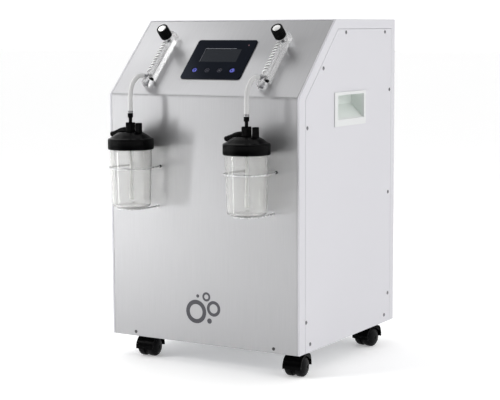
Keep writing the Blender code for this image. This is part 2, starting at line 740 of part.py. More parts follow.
def make_humidifier(side_name, x):
    prefix = f"{side_name}_humidifier"
    place = Matrix.Translation((x, BOTTLE_Y, 0))
    floor = JAR_BOTTOM_Z + JAR_FLOOR
    jar = turned(
        [
            (0, JAR_BOTTOM_Z), (JAR_FOOT_RADIUS - JAR_FOOT_EDGE, JAR_BOTTOM_Z),
            (JAR_FOOT_RADIUS, JAR_BOTTOM_Z + JAR_FOOT_EDGE), (JAR_SHOULDER_RADIUS, JAR_NECK_Z),
            (JAR_NECK_RADIUS, JAR_NECK_Z + JAR_WALL), (JAR_NECK_RADIUS, JAR_TOP_Z),
            (JAR_NECK_RADIUS - JAR_WALL, JAR_TOP_Z), (JAR_SHOULDER_RADIUS - JAR_WALL, JAR_NECK_Z),
            (JAR_FOOT_RADIUS - JAR_WALL, floor + JAR_WALL),
            (JAR_FOOT_RADIUS - JAR_WALL - JAR_FOOT_EDGE, floor), (0, floor),
        ],
        32,
    )
    put(f"{prefix}_jar", jar, "clear_jar", place)

    skirt = JAR_NECK_RADIUS + LID_CLEARANCE
    stem_top = NUT_HIGH_Z - GAP
    lid = turned(
        [
            (0, LID_CEILING_Z), (skirt, LID_CEILING_Z), (skirt, LID_LOW_Z), (LID_RADIUS, LID_LOW_Z),
            (LID_RADIUS, LID_RIM_Z - LID_EDGE), (LID_RADIUS - LID_EDGE, LID_RIM_Z),
            (LID_DOME_RADIUS, LID_DOME_Z), (TURRET_RADIUS, LID_DOME_Z + LID_DOME_RISE),
            (TURRET_RADIUS, TURRET_TOP_Z), (STEM_RADIUS, TURRET_TOP_Z), (STEM_RADIUS, stem_top),
            (0, stem_top),
        ],
        32,
    )
    valve_low, valve_high = (VALVE_OFFSET, 0, LID_DOME_Z - VALVE_ROOT), (VALVE_OFFSET, 0, VALVE_TOP_Z)
    valve = rod(valve_low, valve_high, VALVE_RADIUS, 16)
    outlet = rod(OUTLET_ROOT, OUTLET_TIP, OUTLET_ROOT_RADIUS, 12, OUTLET_TIP_RADIUS)
    put(f"{prefix}_lid", lid, "black_plastic", place, joined=(valve, outlet))

    nut_bore = STEM_RADIUS + GAP
    nut_outline = [(nut_bore, NUT_LOW_Z), (NUT_RADIUS, NUT_LOW_Z)]
    nut_outline += [(NUT_RADIUS, NUT_HIGH_Z), (nut_bore, NUT_HIGH_Z)]
    put(f"{prefix}_inlet_nut", turned(nut_outline, 16, closed=True), "black_plastic", place)

    top = LID_CEILING_Z - GAP
    diffuser = turned(
        [
            (0, DIFFUSER_LOW_Z), (DIFFUSER_RADIUS, DIFFUSER_LOW_Z), (DIFFUSER_RADIUS, DIFFUSER_HIGH_Z),
            (DIFFUSER_TUBE_RADIUS, DIFFUSER_HIGH_Z + DIFFUSER_TAPER), (DIFFUSER_TUBE_RADIUS, top), (0, top),
        ],
        12,
    )
    put(f"{prefix}_diffuser", diffuser, "milky_plastic", place)
    make_bottle_wires(prefix, x)
    route = [(x, FRONT_Y - forward, height) for forward, height in HOSE_ROUTE]
    wire(f"{prefix}_hose", route, HOSE_RADIUS, "silicone", 3)


def make_bottle_wires(prefix, x):
    """The ring round the jar, on two arms out of the panel, and the U-shaped rest under it."""
    reach = math.degrees(math.acos(RING_ARM / RING_RADIUS)) - RING_JOIN
    tail_y, knee_y = FRONT_Y + WIRE_TAIL, FRONT_Y - RING_ARM_LENGTH
    points = [(x + RING_ARM, tail_y), (x + RING_ARM, knee_y)]
    points += arc((x, BOTTLE_Y), RING_RADIUS, reach, -180 - reach, 18)
    points += [(x - RING_ARM, knee_y), (x - RING_ARM, tail_y)]
    wire(f"{prefix}_ring", [(px, py, RING_Z) for px, py in points], WIRE_RADIUS, "chrome")
    points = [(x + REST_HALF, tail_y)]
    points += arc((x, BOTTLE_Y), REST_HALF, 0, -180, 12)
    points.append((x - REST_HALF, tail_y))
    wire(f"{prefix}_rest", [(px, py, REST_Z) for px, py in points], WIRE_RADIUS, "chrome")


# Casters


def make_caster(name, x, y, turn):
    """A twin-wheel caster that swivels about its stem; its wheels trail towards local -Y."""
    place = Matrix.Translation((x, y, 0)) @ Matrix.Rotation(math.radians(turn), 4, "Z")
    axle = (-TRAIL, WHEEL_RADIUS)
    rear_inner = HOOD_REAR - HOOD_WALL
    cover = arc(axle, HOOD_OUTER, HOOD_FRONT_ANGLE, 90, 10)
    cover += [(HOOD_REAR - HOOD_EDGE, HOOD_TOP_Z), (HOOD_REAR, HOOD_TOP_Z - HOOD_EDGE)]
    cover += [(HOOD_REAR, HOOD_REAR_LOW_Z), (rear_inner, HOOD_REAR_LOW_Z), (rear_inner, HOOD_REAR_INNER_Z)]
    cover += arc(axle, HOOD_INNER, 50, HOOD_FRONT_ANGLE, 10)
    hood = prism(cover, -HOOD_HALF_WIDTH, HOOD_HALF_WIDTH, UPRIGHT)
    web_half = WHEEL_INNER - GAP
    web_rear = HOOD_REAR - HOOD_WALL / 2
    web_outline = arc(axle, WEB_RADIUS, 250, 100, 8) + [(-TRAIL, WEB_TOP_Z), (web_rear, WEB_TOP_Z)]
    web_outline += [(web_rear, HOOD_REAR_LOW_Z + GAP), WEB_FOOT]
    web = prism(web_outline, -web_half, web_half, UPRIGHT)
    pin_half = WHEEL_OUTER - AXLE_END
    pin = rod((-pin_half, *axle), (pin_half, *axle), AXLE_RADIUS, 12)
    stem = rod((0, 0, CASTER_STEM_LOW_Z), (0, 0, BODY_BOTTOM + CASTER_STEM_RISE), CASTER_STEM_RADIUS, 16)
    boss = rod((0, 0, BOSS_LOW_Z), (0, 0, BODY_BOTTOM - GAP), BOSS_RADIUS, 16)
    put(f"{name}_caster_hood", hood, "black_plastic", place, joined=(web, pin, boss, stem))
    hub = place @ Matrix.Translation((0, *axle))
    bore = AXLE_RADIUS + GAP
    profile = [
        (bore, WHEEL_INNER), (WHEEL_RADIUS - WHEEL_EDGE, WHEEL_INNER),
        (WHEEL_RADIUS, WHEEL_INNER + WHEEL_EDGE),
        (WHEEL_RADIUS, WHEEL_OUTER - WHEEL_SHOULDER_WIDTH), (WHEEL_RADIUS - WHEEL_SHOULDER, WHEEL_OUTER),
        (WHEEL_FLAT_RADIUS, WHEEL_OUTER + WHEEL_FLAT), (bore, WHEEL_OUTER + WHEEL_DOME),
    ]
    for label, side in (("left", -1), ("right", 1)):
        wheel = turned(profile, 20, closed=True)
        # The wheel's own axis is Z, which is laid along the axle
        sideways = Matrix.Rotation(math.radians(90 * side), 4, "Y")
        put(f"{name}_{label}_wheel", wheel, "wheel_rubber", hub @ sideways)


# Rear fittings


def make_power_inlet():
    body_face = REAR_FACE + 2 * GAP
    body_centre = (INLET_X, body_face - INLET_DEPTH / 2, INLET_Z)
    body = block(body_centre, (INLET_WIDTH, INLET_DEPTH, INLET_HEIGHT))
    flange_centre = (INLET_X, REAR_FACE + GAP + FLANGE_THICKNESS / 2, INLET_Z)
    flange = block(flange_centre, (FLANGE_WIDTH, FLANGE_THICKNESS, FLANGE_HEIGHT))
    socket_centre = (INLET_X, REAR_FACE + (PAST - SOCKET_DEPTH) / 2, INLET_Z)
    socket = block(socket_centre, (SOCKET_WIDTH, SOCKET_DEPTH + PAST, SOCKET_HEIGHT))
    put("power_inlet", body, "black_plastic", joined=(flange,), cut=(socket,))


def make_air_filter():
    """A foam filter in the rear panel's opening, behind a slotted door that is hinged on its left edge."""
    pivot = Vector((-DOOR_WIDTH / 2, REAR_FACE + GAP + DOOR_THICKNESS, DOOR_Z))
    door = box((0, -DOOR_THICKNESS, -DOOR_HEIGHT / 2), (DOOR_WIDTH, 0, DOOR_HEIGHT / 2))
    slot_size = (DOOR_WIDTH - 2 * DOOR_SLOT_MARGIN, 2 * PAST, DOOR_SLOT_HEIGHT)
    slots = slot_row((DOOR_WIDTH / 2, 0, 0), slot_size, DOOR_SLOTS, DOOR_SLOT_PITCH)
    put("filter_door", door, "white_paint", Matrix.Translation(pivot), cut=(slots,))
    foam_depth = FILTER_DEPTH - GAP
    foam = block((0, REAR_FACE - GAP - foam_depth / 2, DOOR_Z), (FILTER_WIDTH, foam_depth, FILTER_HEIGHT))
    put("filter_element", foam, "filter_foam")


def make_fan():
    rear = REAR_FACE - SHEET - GAP
    front = rear - FAN_DEPTH
    half = FAN_SIZE / 2
    frame = box((FAN_X - half, front, FAN_Z - half), (FAN_X + half, rear, FAN_Z + half))
    way = rod((FAN_X, front - PAST, FAN_Z), (FAN_X, rear + PAST, FAN_Z), half - FAN_CLEARANCE, 32)
    bridge_centre = (FAN_X, rear - FAN_BRIDGE / 2, FAN_Z)
    bridge = block(bridge_centre, (FAN_SIZE - FAN_CLEARANCE, FAN_BRIDGE, 2 * FAN_BRIDGE_HALF))
    seat = rod((FAN_X, rear - FAN_SEAT, FAN_Z), (FAN_X, rear, FAN_Z), FAN_SEAT_RADIUS, 16)
    put("fan_frame", frame, "black_plastic", cut=(way,), added=(bridge, seat))
    hub_length = FAN_DEPTH - FAN_CLEARANCE - FAN_SEAT - GAP
    hub = turned([(0, 0), (FAN_HUB_RADIUS, 0), (FAN_HUB_RADIUS, hub_length), (0, hub_length)], 24)
    blade_thickness, blade_half = FAN_BLADE_THICKNESS / 2, FAN_BLADE_HALF
    lean = Matrix.Rotation(math.radians(FAN_BLADE_LEAN), 4, "X")
    middle = Matrix.Translation((0, 0, hub_length / 2))
    blades = []
    for i in range(FAN_BLADES):
        root = (FAN_HUB_RADIUS - BURY, -blade_half, -blade_thickness)
        blade = box(root, (half - FAN_BLADE_TIP_GAP, blade_half, blade_thickness))
        spin = Matrix.Rotation(2 * math.pi * i / FAN_BLADES, 4, "Z")
        bmesh.ops.transform(blade, matrix=spin @ middle @ lean, verts=blade.verts)
        blades.append(blade)
    facing = Matrix.Rotation(math.radians(-90), 4, "X")
    place = Matrix.Translation((FAN_X, front + FAN_CLEARANCE, FAN_Z)) @ facing
    put("fan_rotor", hub, "black_plastic", place, joined=(gathered(blades),))


# Inside the cabinet


def make_compressor():
    deck = INNER_FLOOR + DECK_RISE
    deck_top = deck + DECK_THICKNESS
    centre_z = deck + MOTOR_RISE + MOTOR_RADIUS
    front, rear = COMPRESSOR_Y - DECK_HALF_DEPTH, COMPRESSOR_Y + DECK_HALF_DEPTH
    plate = box((DECK_LEFT, front, deck), (DECK_RIGHT, rear, deck_top))
    motor = rod((MOTOR_LEFT, COMPRESSOR_Y, centre_z), (MOTOR_RIGHT, COMPRESSOR_Y, centre_z), MOTOR_RADIUS, 28)
    extras = [motor]
    for x in HEAD_LEFTS:
        low = (x, COMPRESSOR_Y - HEAD_HALF_DEPTH, deck_top - BURY)
        high = (x + HEAD_WIDTH, COMPRESSOR_Y + HEAD_HALF_DEPTH, centre_z + HEAD_RISE)
        extras.append(box(low, high))
    feet = []
    for x in FOOT_XS:
        for y in (COMPRESSOR_Y - HEAD_HALF_DEPTH, COMPRESSOR_Y + HEAD_HALF_DEPTH):
            feet.append(rod((x, y, INNER_FLOOR), (x, y, deck + BURY), FOOT_RADIUS, 12))
    extras.append(gathered(feet))
    put("compressor", plate, "cast_aluminium", joined=extras)


def make_sieve_beds():
    """Two columns with a cap at each end, and the valve manifold that lies across them."""
    waist = BED_RADIUS - BED_WAIST
    for label, x in (("a", -BED_X), ("b", BED_X)):
        bed = turned(
            [
                (0, 0), (BED_RADIUS, 0), (BED_RADIUS, BED_CAP), (waist, BED_CAP),
                (waist, BED_HEIGHT - BED_CAP), (BED_RADIUS, BED_HEIGHT - BED_CAP), (BED_RADIUS, BED_HEIGHT),
                (0, BED_HEIGHT),
            ],
            24,
        )
        put(f"sieve_bed_{label}", bed, "cast_aluminium", Matrix.Translation((x, BED_Y, INNER_FLOOR)))
    low = INNER_FLOOR + BED_HEIGHT + GAP
    high = low + MANIFOLD_HEIGHT
    manifold_low = (-MANIFOLD_HALF_WIDTH, BED_Y - MANIFOLD_HALF_DEPTH, low)
    manifold = box(manifold_low, (MANIFOLD_HALF_WIDTH, BED_Y + MANIFOLD_HALF_DEPTH, high))
    coils = []
    for x in COIL_XS:
        coils.append(rod((x, BED_Y, high - BURY), (x, BED_Y, high + COIL_HEIGHT), COIL_RADIUS, 16))
    put("valve_manifold", manifold, "cast_aluminium", joined=(gathered(coils),))


def make_oxygen_tank():
    port_top = TANK_HEIGHT + TANK_PORT_LENGTH
    tank = turned(
        [
            (0, 0), (TANK_RADIUS - TANK_FOOT_EDGE, 0), (TANK_RADIUS, TANK_FOOT_EDGE),
            (TANK_RADIUS, TANK_HEIGHT - TANK_SHOULDER), (TANK_RADIUS - TANK_SHOULDER, TANK_HEIGHT),
            (TANK_PORT_RADIUS, TANK_HEIGHT), (TANK_PORT_RADIUS, port_top), (0, port_top),
        ],
        24,
    )
    put("oxygen_tank", tank, "cast_aluminium", Matrix.Translation((TANK_X, TANK_Y, INNER_FLOOR)))


def build():
    clear_scene()
    make_cabinet_shell()
    make_front_panel()
    make_base_tray()
    make_rear_panel()
    for side_name, side in (("left", -1), ("right", 1)):
        make_side_cover(f"{side_name}_side_cover", side)
        make_handle_cup(f"{side_name}_handle_cup", side)
        make_flowmeter(side_name, side * STATION_X)
        make_humidifier(side_name, side * STATION_X)
    make_control_panel()
    for name, (x, y, turn) in CASTERS.items():
        make_caster(name, x, y, turn)
    make_power_inlet()
    make_air_filter()
    make_fan()
    make_compressor()
    make_sieve_beds()
    make_oxygen_tank()


build()
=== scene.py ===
"""Looks for the oxygen concentrator: finer pieces, procedural materials, light and a camera."""

import json
import math

import bmesh
import bpy
from mathutils import Matrix, Vector

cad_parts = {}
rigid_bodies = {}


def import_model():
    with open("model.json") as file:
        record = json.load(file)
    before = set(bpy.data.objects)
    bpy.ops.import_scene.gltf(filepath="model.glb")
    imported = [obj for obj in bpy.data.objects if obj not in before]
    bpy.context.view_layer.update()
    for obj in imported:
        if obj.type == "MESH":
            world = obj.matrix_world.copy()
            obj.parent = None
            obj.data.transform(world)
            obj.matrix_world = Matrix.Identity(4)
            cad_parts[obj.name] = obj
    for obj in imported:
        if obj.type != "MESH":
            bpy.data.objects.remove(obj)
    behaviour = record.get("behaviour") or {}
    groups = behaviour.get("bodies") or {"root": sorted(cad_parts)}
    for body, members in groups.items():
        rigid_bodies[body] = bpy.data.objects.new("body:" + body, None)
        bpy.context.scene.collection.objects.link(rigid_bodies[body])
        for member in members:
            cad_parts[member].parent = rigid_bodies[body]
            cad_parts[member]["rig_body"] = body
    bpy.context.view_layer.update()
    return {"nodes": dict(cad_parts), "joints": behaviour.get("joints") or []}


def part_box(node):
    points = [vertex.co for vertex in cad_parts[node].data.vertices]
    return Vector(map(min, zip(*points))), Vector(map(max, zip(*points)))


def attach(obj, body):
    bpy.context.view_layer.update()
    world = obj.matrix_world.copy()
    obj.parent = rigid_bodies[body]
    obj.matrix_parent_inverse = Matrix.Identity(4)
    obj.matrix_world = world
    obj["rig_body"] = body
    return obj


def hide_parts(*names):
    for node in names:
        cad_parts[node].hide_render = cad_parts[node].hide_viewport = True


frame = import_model()

# ---- dimensions, taken from the frame
SHELL_LOW, SHELL_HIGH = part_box("cabinet_shell")
HALF_WIDTH = SHELL_HIGH.x
FRONT_Y = SHELL_LOW.y
REAR_Y = SHELL_HIGH.y
BODY_BOTTOM = SHELL_LOW.z
TOP_Z = SHELL_HIGH.z
SLOPE_RISE = 0.128
BEND_Z = TOP_Z - SLOPE_RISE
PANEL_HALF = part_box("front_panel")[1].x
SHEET = 0.002
BEND_RADIUS = 0.008
GAP = 0.0003
CUT_PAST = 0.02
SIDE_THICKNESS = 0.004
SEAT_DEPTH = 0.002
SEAT_WIDTH = 0.012
SEAM_FRONT = 0.021
SEAM_REAR = 0.015
SEAM_TOP = 0.0165
SEAM_SLOPE = 0.0177
WINDOW_HALF_WIDTH = 0.054
WINDOW_LOW = 0.045
WINDOW_HIGH = 0.122

JAR_LOW, JAR_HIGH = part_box("right_humidifier_jar")
STATION_X = (JAR_LOW.x + JAR_HIGH.x) / 2
BOTTLE_Y = (JAR_LOW.y + JAR_HIGH.y) / 2
JAR_BOTTOM_Z = JAR_LOW.z
JAR_TOP_Z = JAR_HIGH.z
LID_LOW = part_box("right_humidifier_lid")[0]
LID_LOW_Z = LID_LOW.z
LID_RADIUS = BOTTLE_Y - LID_LOW.y
LID_RIM_Z = LID_LOW_Z + 0.0183
LID_DOME_Z = LID_LOW_Z + 0.0291
LID_CEILING_Z = JAR_TOP_Z + 0.002
RING_Z = sum((corner.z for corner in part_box("right_humidifier_ring")), 0.0) / 2
REST_Z = sum((corner.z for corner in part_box("right_humidifier_rest")), 0.0) / 2
WIRE_RADIUS = 0.0015
RING_RADIUS = 0.0374
RING_ARM = 0.031
REST_HALF_WIDTH = 0.0245
JAR_RADIUS = 0.0364
JAR_WALL = 0.0018
BARB_ROUTE = [
    (-0.004, 0, 0.402), (-0.0075, 0, 0.4052), (-0.012, 0, 0.4062), (-0.0175, 0, 0.4052),
    (-0.024, 0, 0.403), (-0.032, 0, 0.4003), (-0.0405, 0, 0.3974),
]

OVERLAY_HALF_WIDTH = 0.06
OVERLAY_LOW = 0.0385
OVERLAY_HIGH = 0.13
OVERLAY_TOP = 0.0018
SCREEN_TOP = OVERLAY_TOP - 0.0004
SCREEN_HALF_WIDTH = 0.0365
SCREEN_LOW = 0.078
SCREEN_HIGH = 0.109
KEY_ROW = 0.0583
KEY_RADIUS = 0.0052
KEYS = {"power": -0.038, "minus": -0.0125, "plus": 0.0125, "timer": 0.038}
PRINT_THICKNESS = 0.0001
FULL_TURN = 359.9
# Arcs (radius, start, end) and bars (corner, opposite corner) of each key's symbol
KEY_MARKS = {
    "power": ([(0.0026, 120, 420)], [(-0.0003, 0.0008, 0.0003, 0.0034)]),
    "minus": ([], [(-0.0021, -0.0003, 0.0021, 0.0003)]),
    "plus": ([], [(-0.0021, -0.0003, 0.0021, 0.0003), (-0.0003, -0.0021, 0.0003, 0.0021)]),
    "timer": (
        [(0.0027, 0, FULL_TURN)],
        [(-0.0003, -0.0003, 0.0003, 0.0019), (-0.0003, -0.0003, 0.0015, 0.0003)],
    ),
}

METER_HALF_WIDTH = 0.0085
METER_AXIS_HEIGHT = 0.0095
METER_LOW = 0.017
METER_HIGH = 0.137
METER_STEP = 0.03
TUBE_BORE = 0.0033
TUBE_TOP = 0.108
VALVE_BORE = 0.0033
FLOAT_UP = 0.03
RIBS = 10
RIB_LOW = 0.0452
RIB_PITCH = 0.0066
KNOB_UP = 0.12
KNOB_BASE = 0.0205
KNOB_RADIUS = 0.0105
KNOB_LENGTH = 0.021
CAP_RADIUS = 0.007
OUTLET_UP = 0.028
OUTLET_HEIGHT = 0.019

HOSE_RADIUS = 0.004
# Route of a hose: distance in front of the front panel, and height
HOSE_ROUTE = [
    (0.0043, 0.4977), (0.009, 0.4979), (0.0145, 0.4975), (0.0205, 0.4957), (0.0263, 0.4926),
    (0.0315, 0.4883), (0.0358, 0.483), (0.039, 0.4769), (0.0411, 0.4703), (0.0421, 0.4632),
    (0.0424, 0.4558), (0.0424, 0.449), (0.0424, 0.4422), (0.0424, 0.4354),
]

WHEEL_RADIUS = 0.017
HOOD_HALF_WIDTH = 0.017
HOOD_TOP_Z = 0.0372
HOOD_REAR = 0.0078
HOOD_LIP_Z = 0.0165
# Section of a tyre: distance from its axle, and distance outwards from the caster's middle
TYRE = [
    (0.0028, 0.0027), (0.0085, 0.0027), (0.01, 0.0034), (0.0155, 0.0034), (0.0166, 0.004),
    (WHEEL_RADIUS, 0.0052), (WHEEL_RADIUS, 0.0122), (0.0167, 0.0136), (0.0158, 0.015), (0.0143, 0.0163),
    (0.0133, 0.0168), (0.013, 0.0166), (0.0124, 0.017), (0.01, 0.0182), (0.007, 0.0191),
    (0.0034, 0.0194), (0.0028, 0.019),
]

SIDE_SCREWS = [
    (0.0259, 0.57), (0.1788, 0.57), (-0.0561, 0.511), (0.1988, 0.466), (-0.1121, 0.4145),
    (0.1953, 0.279), (0.1968, 0.091), (-0.1161, 0.091), (-0.1021, 0.052), (0.1823, 0.052),
]
KEPT_NODES = {
    "white": ["rear_panel"],
    "tray": ["base_tray"],
    "foam": ["filter_element"],
    "black": ["fan_frame", "fan_rotor"],
    "cast": ["compressor", "sieve_bed_a", "sieve_bed_b", "oxygen_tank", "valve_manifold"],
}
SIDE_SCREW_RADIUS = 0.0034
FRONT_SCREW_RADIUS = 0.0029
FRONT_SCREW_X = 0.1405
FRONT_SCREW_Z = 0.0455
REAR_SCREW_RADIUS = 0.0021

# Rings (x, y, radius, width) and dots (x, y, radius) of the printed mark
EMBLEM_Z = 0.1
EMBLEM_RINGS = [
    (-0.013, -0.006, 0.0205, 0.0075), (0.0225, 0.002, 0.0135, 0.0055), (0.008, 0.0215, 0.008, 0.0038),
]
EMBLEM_DOTS = [(0.014, -0.02, 0.0046), (-0.0095, 0.0215, 0.003)]

CAMERA_YAW = 30.968
CAMERA_PITCH = 6.868
CAMERA_ROLL = -0.271
CAMERA_LENS = 102.95
CAMERA_SENSOR = 36
CAMERA_PLACE = (1.313, -2.16705, 0.5785)
TENT_FRONT = 0.04
TENT_REAR = 1.17
KEY_POWER = 19
STRIP_POWER = 5.8
TOP_POWER = 4.2
BEND_POWER = 3.5
FILL_POWER = 8.5
FLOOR_GLOW = 0.27
FLOOR_SIZE = 30.0

SLOPE_TURN = Matrix.Rotation(math.radians(45), 4, "X")
UPRIGHT = Matrix(((0, 0, 1, 0), (1, 0, 0, 0), (0, 1, 0, 0), (0, 0, 0, 1)))
LENGTHWAYS = Matrix(((1, 0, 0, 0), (0, 0, 1, 0), (0, 1, 0, 0), (0, 0, 0, 1)))
FORWARDS = Matrix.Rotation(math.pi / 2, 4, "X")
BACKWARDS = Matrix.Rotation(-math.pi / 2, 4, "X")


def moved(x, y=0, z=0):
    return Matrix.Translation((x, y, z))


def linked(name, data):
    """A new object in the scene."""
    thing = bpy.data.objects.new(name, data)
    bpy.context.scene.collection.objects.link(thing)
    return thing


def on_slope(x, up, out):
    """The point at a distance up the slope from the bend and out from its face."""
    diagonal = math.sqrt(2)
    return Vector((x, FRONT_Y + (up - out) / diagonal, BEND_Z + (up + out) / diagonal))


def slope_place(x, up, out):
    return Matrix.Translation(on_slope(x, up, out)) @ SLOPE_TURN


# ---- camera
def make_camera():
    """A long lens, 31 degrees round to the right of the front and seven degrees down."""
    yaw, pitch, roll = (math.radians(angle) for angle in (CAMERA_YAW, CAMERA_PITCH, CAMERA_ROLL))
    forward = Vector((-math.sin(yaw) * math.cos(pitch), math.cos(yaw) * math.cos(pitch), -math.sin(pitch)))
    level = Vector((math.cos(yaw), math.sin(yaw), 0))
    above = level.cross(forward)
    right = level * math.cos(roll) + above * math.sin(roll)
    up = above * math.cos(roll) - level * math.sin(roll)
    data = bpy.data.cameras.new("camera")
    data.lens = CAMERA_LENS
    data.sensor_width = CAMERA_SENSOR
    camera = linked("camera", data)
    turn = Matrix((right, up, -forward)).transposed().to_4x4()
    camera.matrix_world = moved(*CAMERA_PLACE) @ turn
    bpy.context.scene.camera = camera


# ---- materials
def fill(node, values):
    """Sets a node's sockets by their labels."""
    for label, value in values.items():
        node.inputs[label.replace("_", " ")].default_value = value
    return node


class Nodes:
    """A material's node tree, with short calls for the nodes that the materials share."""

    def __init__(self, name):
        self.material = bpy.data.materials.new(name)
        self.material.use_nodes = True
        self.tree = self.material.node_tree
        self.shader = self.tree.nodes["Principled BSDF"]
        self.coordinates = self.tree.nodes.new("ShaderNodeTexCoord").outputs["Object"]

    def set(self, **values):
        fill(self.shader, values)
        return self

    def add(self, kind, **values):
        return fill(self.tree.nodes.new("ShaderNode" + kind), values)

    def link(self, output, target):
        self.tree.links.new(output, target)
        return self

    def noise(self, scale, stretch=(1, 1, 1), detail=3.0, roughness=0.5):
        mapping = self.add("Mapping", Scale=stretch)
        self.link(self.coordinates, mapping.inputs["Vector"])
        noise = self.add("TexNoise", Scale=scale, Detail=detail, Roughness=roughness)
        self.link(mapping.outputs["Vector"], noise.inputs["Vector"])
        return noise.outputs["Fac"]

    def ramp(self, factor, stops):
        ramp = self.add("ValToRGB")
        elements = ramp.color_ramp.elements
        while len(elements) < len(stops):
            elements.new(0.5)
        for element, (position, colour) in zip(elements, stops):
            element.position = position
            element.color = (*colour, 1.0)
        self.link(factor, ramp.inputs["Fac"])
        return ramp.outputs["Color"]

    def span(self, factor, low, high):
        node = self.add("MapRange", To_Min=low, To_Max=high)
        self.link(factor, node.inputs["Value"])
        return node.outputs["Result"]

    def math(self, operation, first, second):
        node = self.add("Math")
        node.operation = operation
        for socket, value in zip(node.inputs, (first, second)):
            if isinstance(value, (int, float)):
                socket.default_value = value
            else:
                self.link(value, socket)
        return node.outputs["Value"]

    def colour(self, factor, low, high):
        return self.link(self.ramp(factor, [(0.3, low), (0.7, high)]), self.shader.inputs["Base Color"])

    def rough(self, factor, low, high):
        return self.link(self.span(factor, low, high), self.shader.inputs["Roughness"])

    def bump(self, height, strength, distance):
        node = self.add("Bump", Strength=strength, Distance=distance)
        self.link(height, node.inputs["Height"])
        return self.link(node.outputs["Normal"], self.shader.inputs["Normal"])

    def clear_shadow(self, tint):
        """Lamps reach through the surface with this tint, so that glass doesn't shade what is behind it."""
        output = self.tree.nodes["Material Output"]
        path = self.add("LightPath")
        clear = self.add("BsdfTransparent", Color=(*tint, 1.0))
        mix = self.add("MixShader")
        self.link(path.outputs["Is Shadow Ray"], mix.inputs["Fac"])
        self.link(self.shader.outputs["BSDF"], mix.inputs[1])
        self.link(clear.outputs["BSDF"], mix.inputs[2])
        self.link(mix.outputs["Shader"], output.inputs["Surface"])
        return self


def brushed_steel():
    """Satin sheet, brushed up and down: fine streaks in its roughness and height, faint in its colour."""
    nodes = Nodes("brushed_steel").set(Metallic=0.72, IOR=1.8, Anisotropic=0.45)
    streaks = nodes.noise(900, (1.0, 0.016, 0.016), 4.0, 0.6)
    cloud = nodes.noise(9, (1.0, 0.35, 0.35), 3.0)
    nodes.colour(streaks, (0.415, 0.415, 0.425), (0.45, 0.45, 0.46))
    gloss = nodes.math("ADD", nodes.math("MULTIPLY", streaks, 0.6), nodes.math("MULTIPLY", cloud, 0.4))
    nodes.rough(gloss, 0.28, 0.48)
    nodes.bump(streaks, 0.05, 0.0002)
    return nodes.material


def powder_coat(name, tone, roughness):
    """Painted steel with the slight orange peel of powder coat."""
    nodes = Nodes(name).set(IOR=1.48)
    peel = nodes.noise(900, detail=2.0)
    cloud = nodes.noise(6, detail=4.0)
    nodes.colour(cloud, tuple(c * 0.985 for c in tone), tone)
    nodes.rough(cloud, roughness - 0.04, roughness + 0.05)
    nodes.bump(peel, 0.05, 0.0002)
    return nodes.material


def moulded(name, tone, roughness, grain=0.08, spread=1.25, shine=0.5):
    """Moulded plastic or rubber with a fine grain and slightly uneven gloss."""
    nodes = Nodes(name).set(IOR=1.47, Specular_IOR_Level=shine)
    fine = nodes.noise(1600, detail=2.0)
    cloud = nodes.noise(35, detail=4.0)
    nodes.colour(cloud, tone, tuple(c * spread for c in tone))
    nodes.rough(cloud, roughness - 0.05, roughness + 0.08)
    nodes.bump(fine, grain, 0.0002)
    return nodes.material


def cup_with_painted_inner_shade():
    """White moulded plastic, with painted shade inside the grip: darker and greener there than on the rim.
    """
    nodes = Nodes("white_cup_painted_inner_shade").set(IOR=1.47)
    split = nodes.add("SeparateXYZ")
    nodes.link(nodes.coordinates, split.inputs["Vector"])
    reach = nodes.math("ABSOLUTE", split.outputs["X"], 0.0)
    depth = nodes.add("MapRange", From_Min=HALF_WIDTH - SIDE_THICKNESS, From_Max=HALF_WIDTH + 0.0002)
    nodes.link(reach, depth.inputs["Value"])
    cloud = nodes.noise(35, detail=4.0)
    tone = nodes.math("ADD", depth.outputs["Result"], nodes.math("MULTIPLY", cloud, 0.06))
    # painted shade: the colour goes darker and greener with depth into the grip
    colour = nodes.ramp(tone, [(0.02, (0.7, 0.745, 0.715)), (0.98, (0.73, 0.74, 0.74))])
    nodes.link(colour, nodes.shader.inputs["Base Color"])
    nodes.rough(cloud, 0.34, 0.46)
    nodes.bump(nodes.noise(1600, detail=2.0), 0.05, 0.0002)
    return nodes.material


def polished(name, tone, roughness):
    """Polished lacquer or glass-like plastic, with only the faintest smears in its gloss."""
    nodes = Nodes(name).set(IOR=1.5, Specular_IOR_Level=0.05, Specular_Tint=(0.42, 0.6, 1.0, 1.0))
    smear = nodes.noise(28, (1.0, 2.2, 1.0), 5.0)
    nodes.colour(smear, tone, tuple(c * 1.3 for c in tone))
    nodes.rough(smear, roughness, roughness + 0.06)
    return nodes.material


def metal(name, tone, roughness, scale=400, metallic=1.0):
    nodes = Nodes(name).set(Metallic=metallic)
    wear = nodes.noise(scale, detail=4.0)
    nodes.colour(wear, tuple(c * 0.9 for c in tone), tone)
    nodes.rough(wear, roughness * 0.7, roughness * 1.4)
    nodes.bump(wear, 0.03, 0.0001)
    return nodes.material


def clear(name, tone, roughness, haze, tint, density):
    """Clear moulded plastic: glass-like, with a little haze in the wall."""
    nodes = Nodes(name).set(IOR=density, Transmission_Weight=1.0 - haze, Specular_IOR_Level=0.9)
    flow = nodes.noise(60, (1.0, 1.0, 0.25), 3.0)
    nodes.colour(flow, tuple(c * 0.97 for c in tone), tone)
    nodes.rough(flow, roughness, roughness + 0.05)
    return nodes.clear_shadow(tint).material


def milky(name, tone, roughness, transmission, tint):
    nodes = Nodes(name).set(IOR=1.41, Transmission_Weight=transmission)
    cloud = nodes.noise(90, detail=3.0)
    nodes.colour(cloud, tuple(c * 0.95 for c in tone), tone)
    nodes.rough(cloud, roughness, roughness + 0.12)
    return nodes.clear_shadow(tint).material


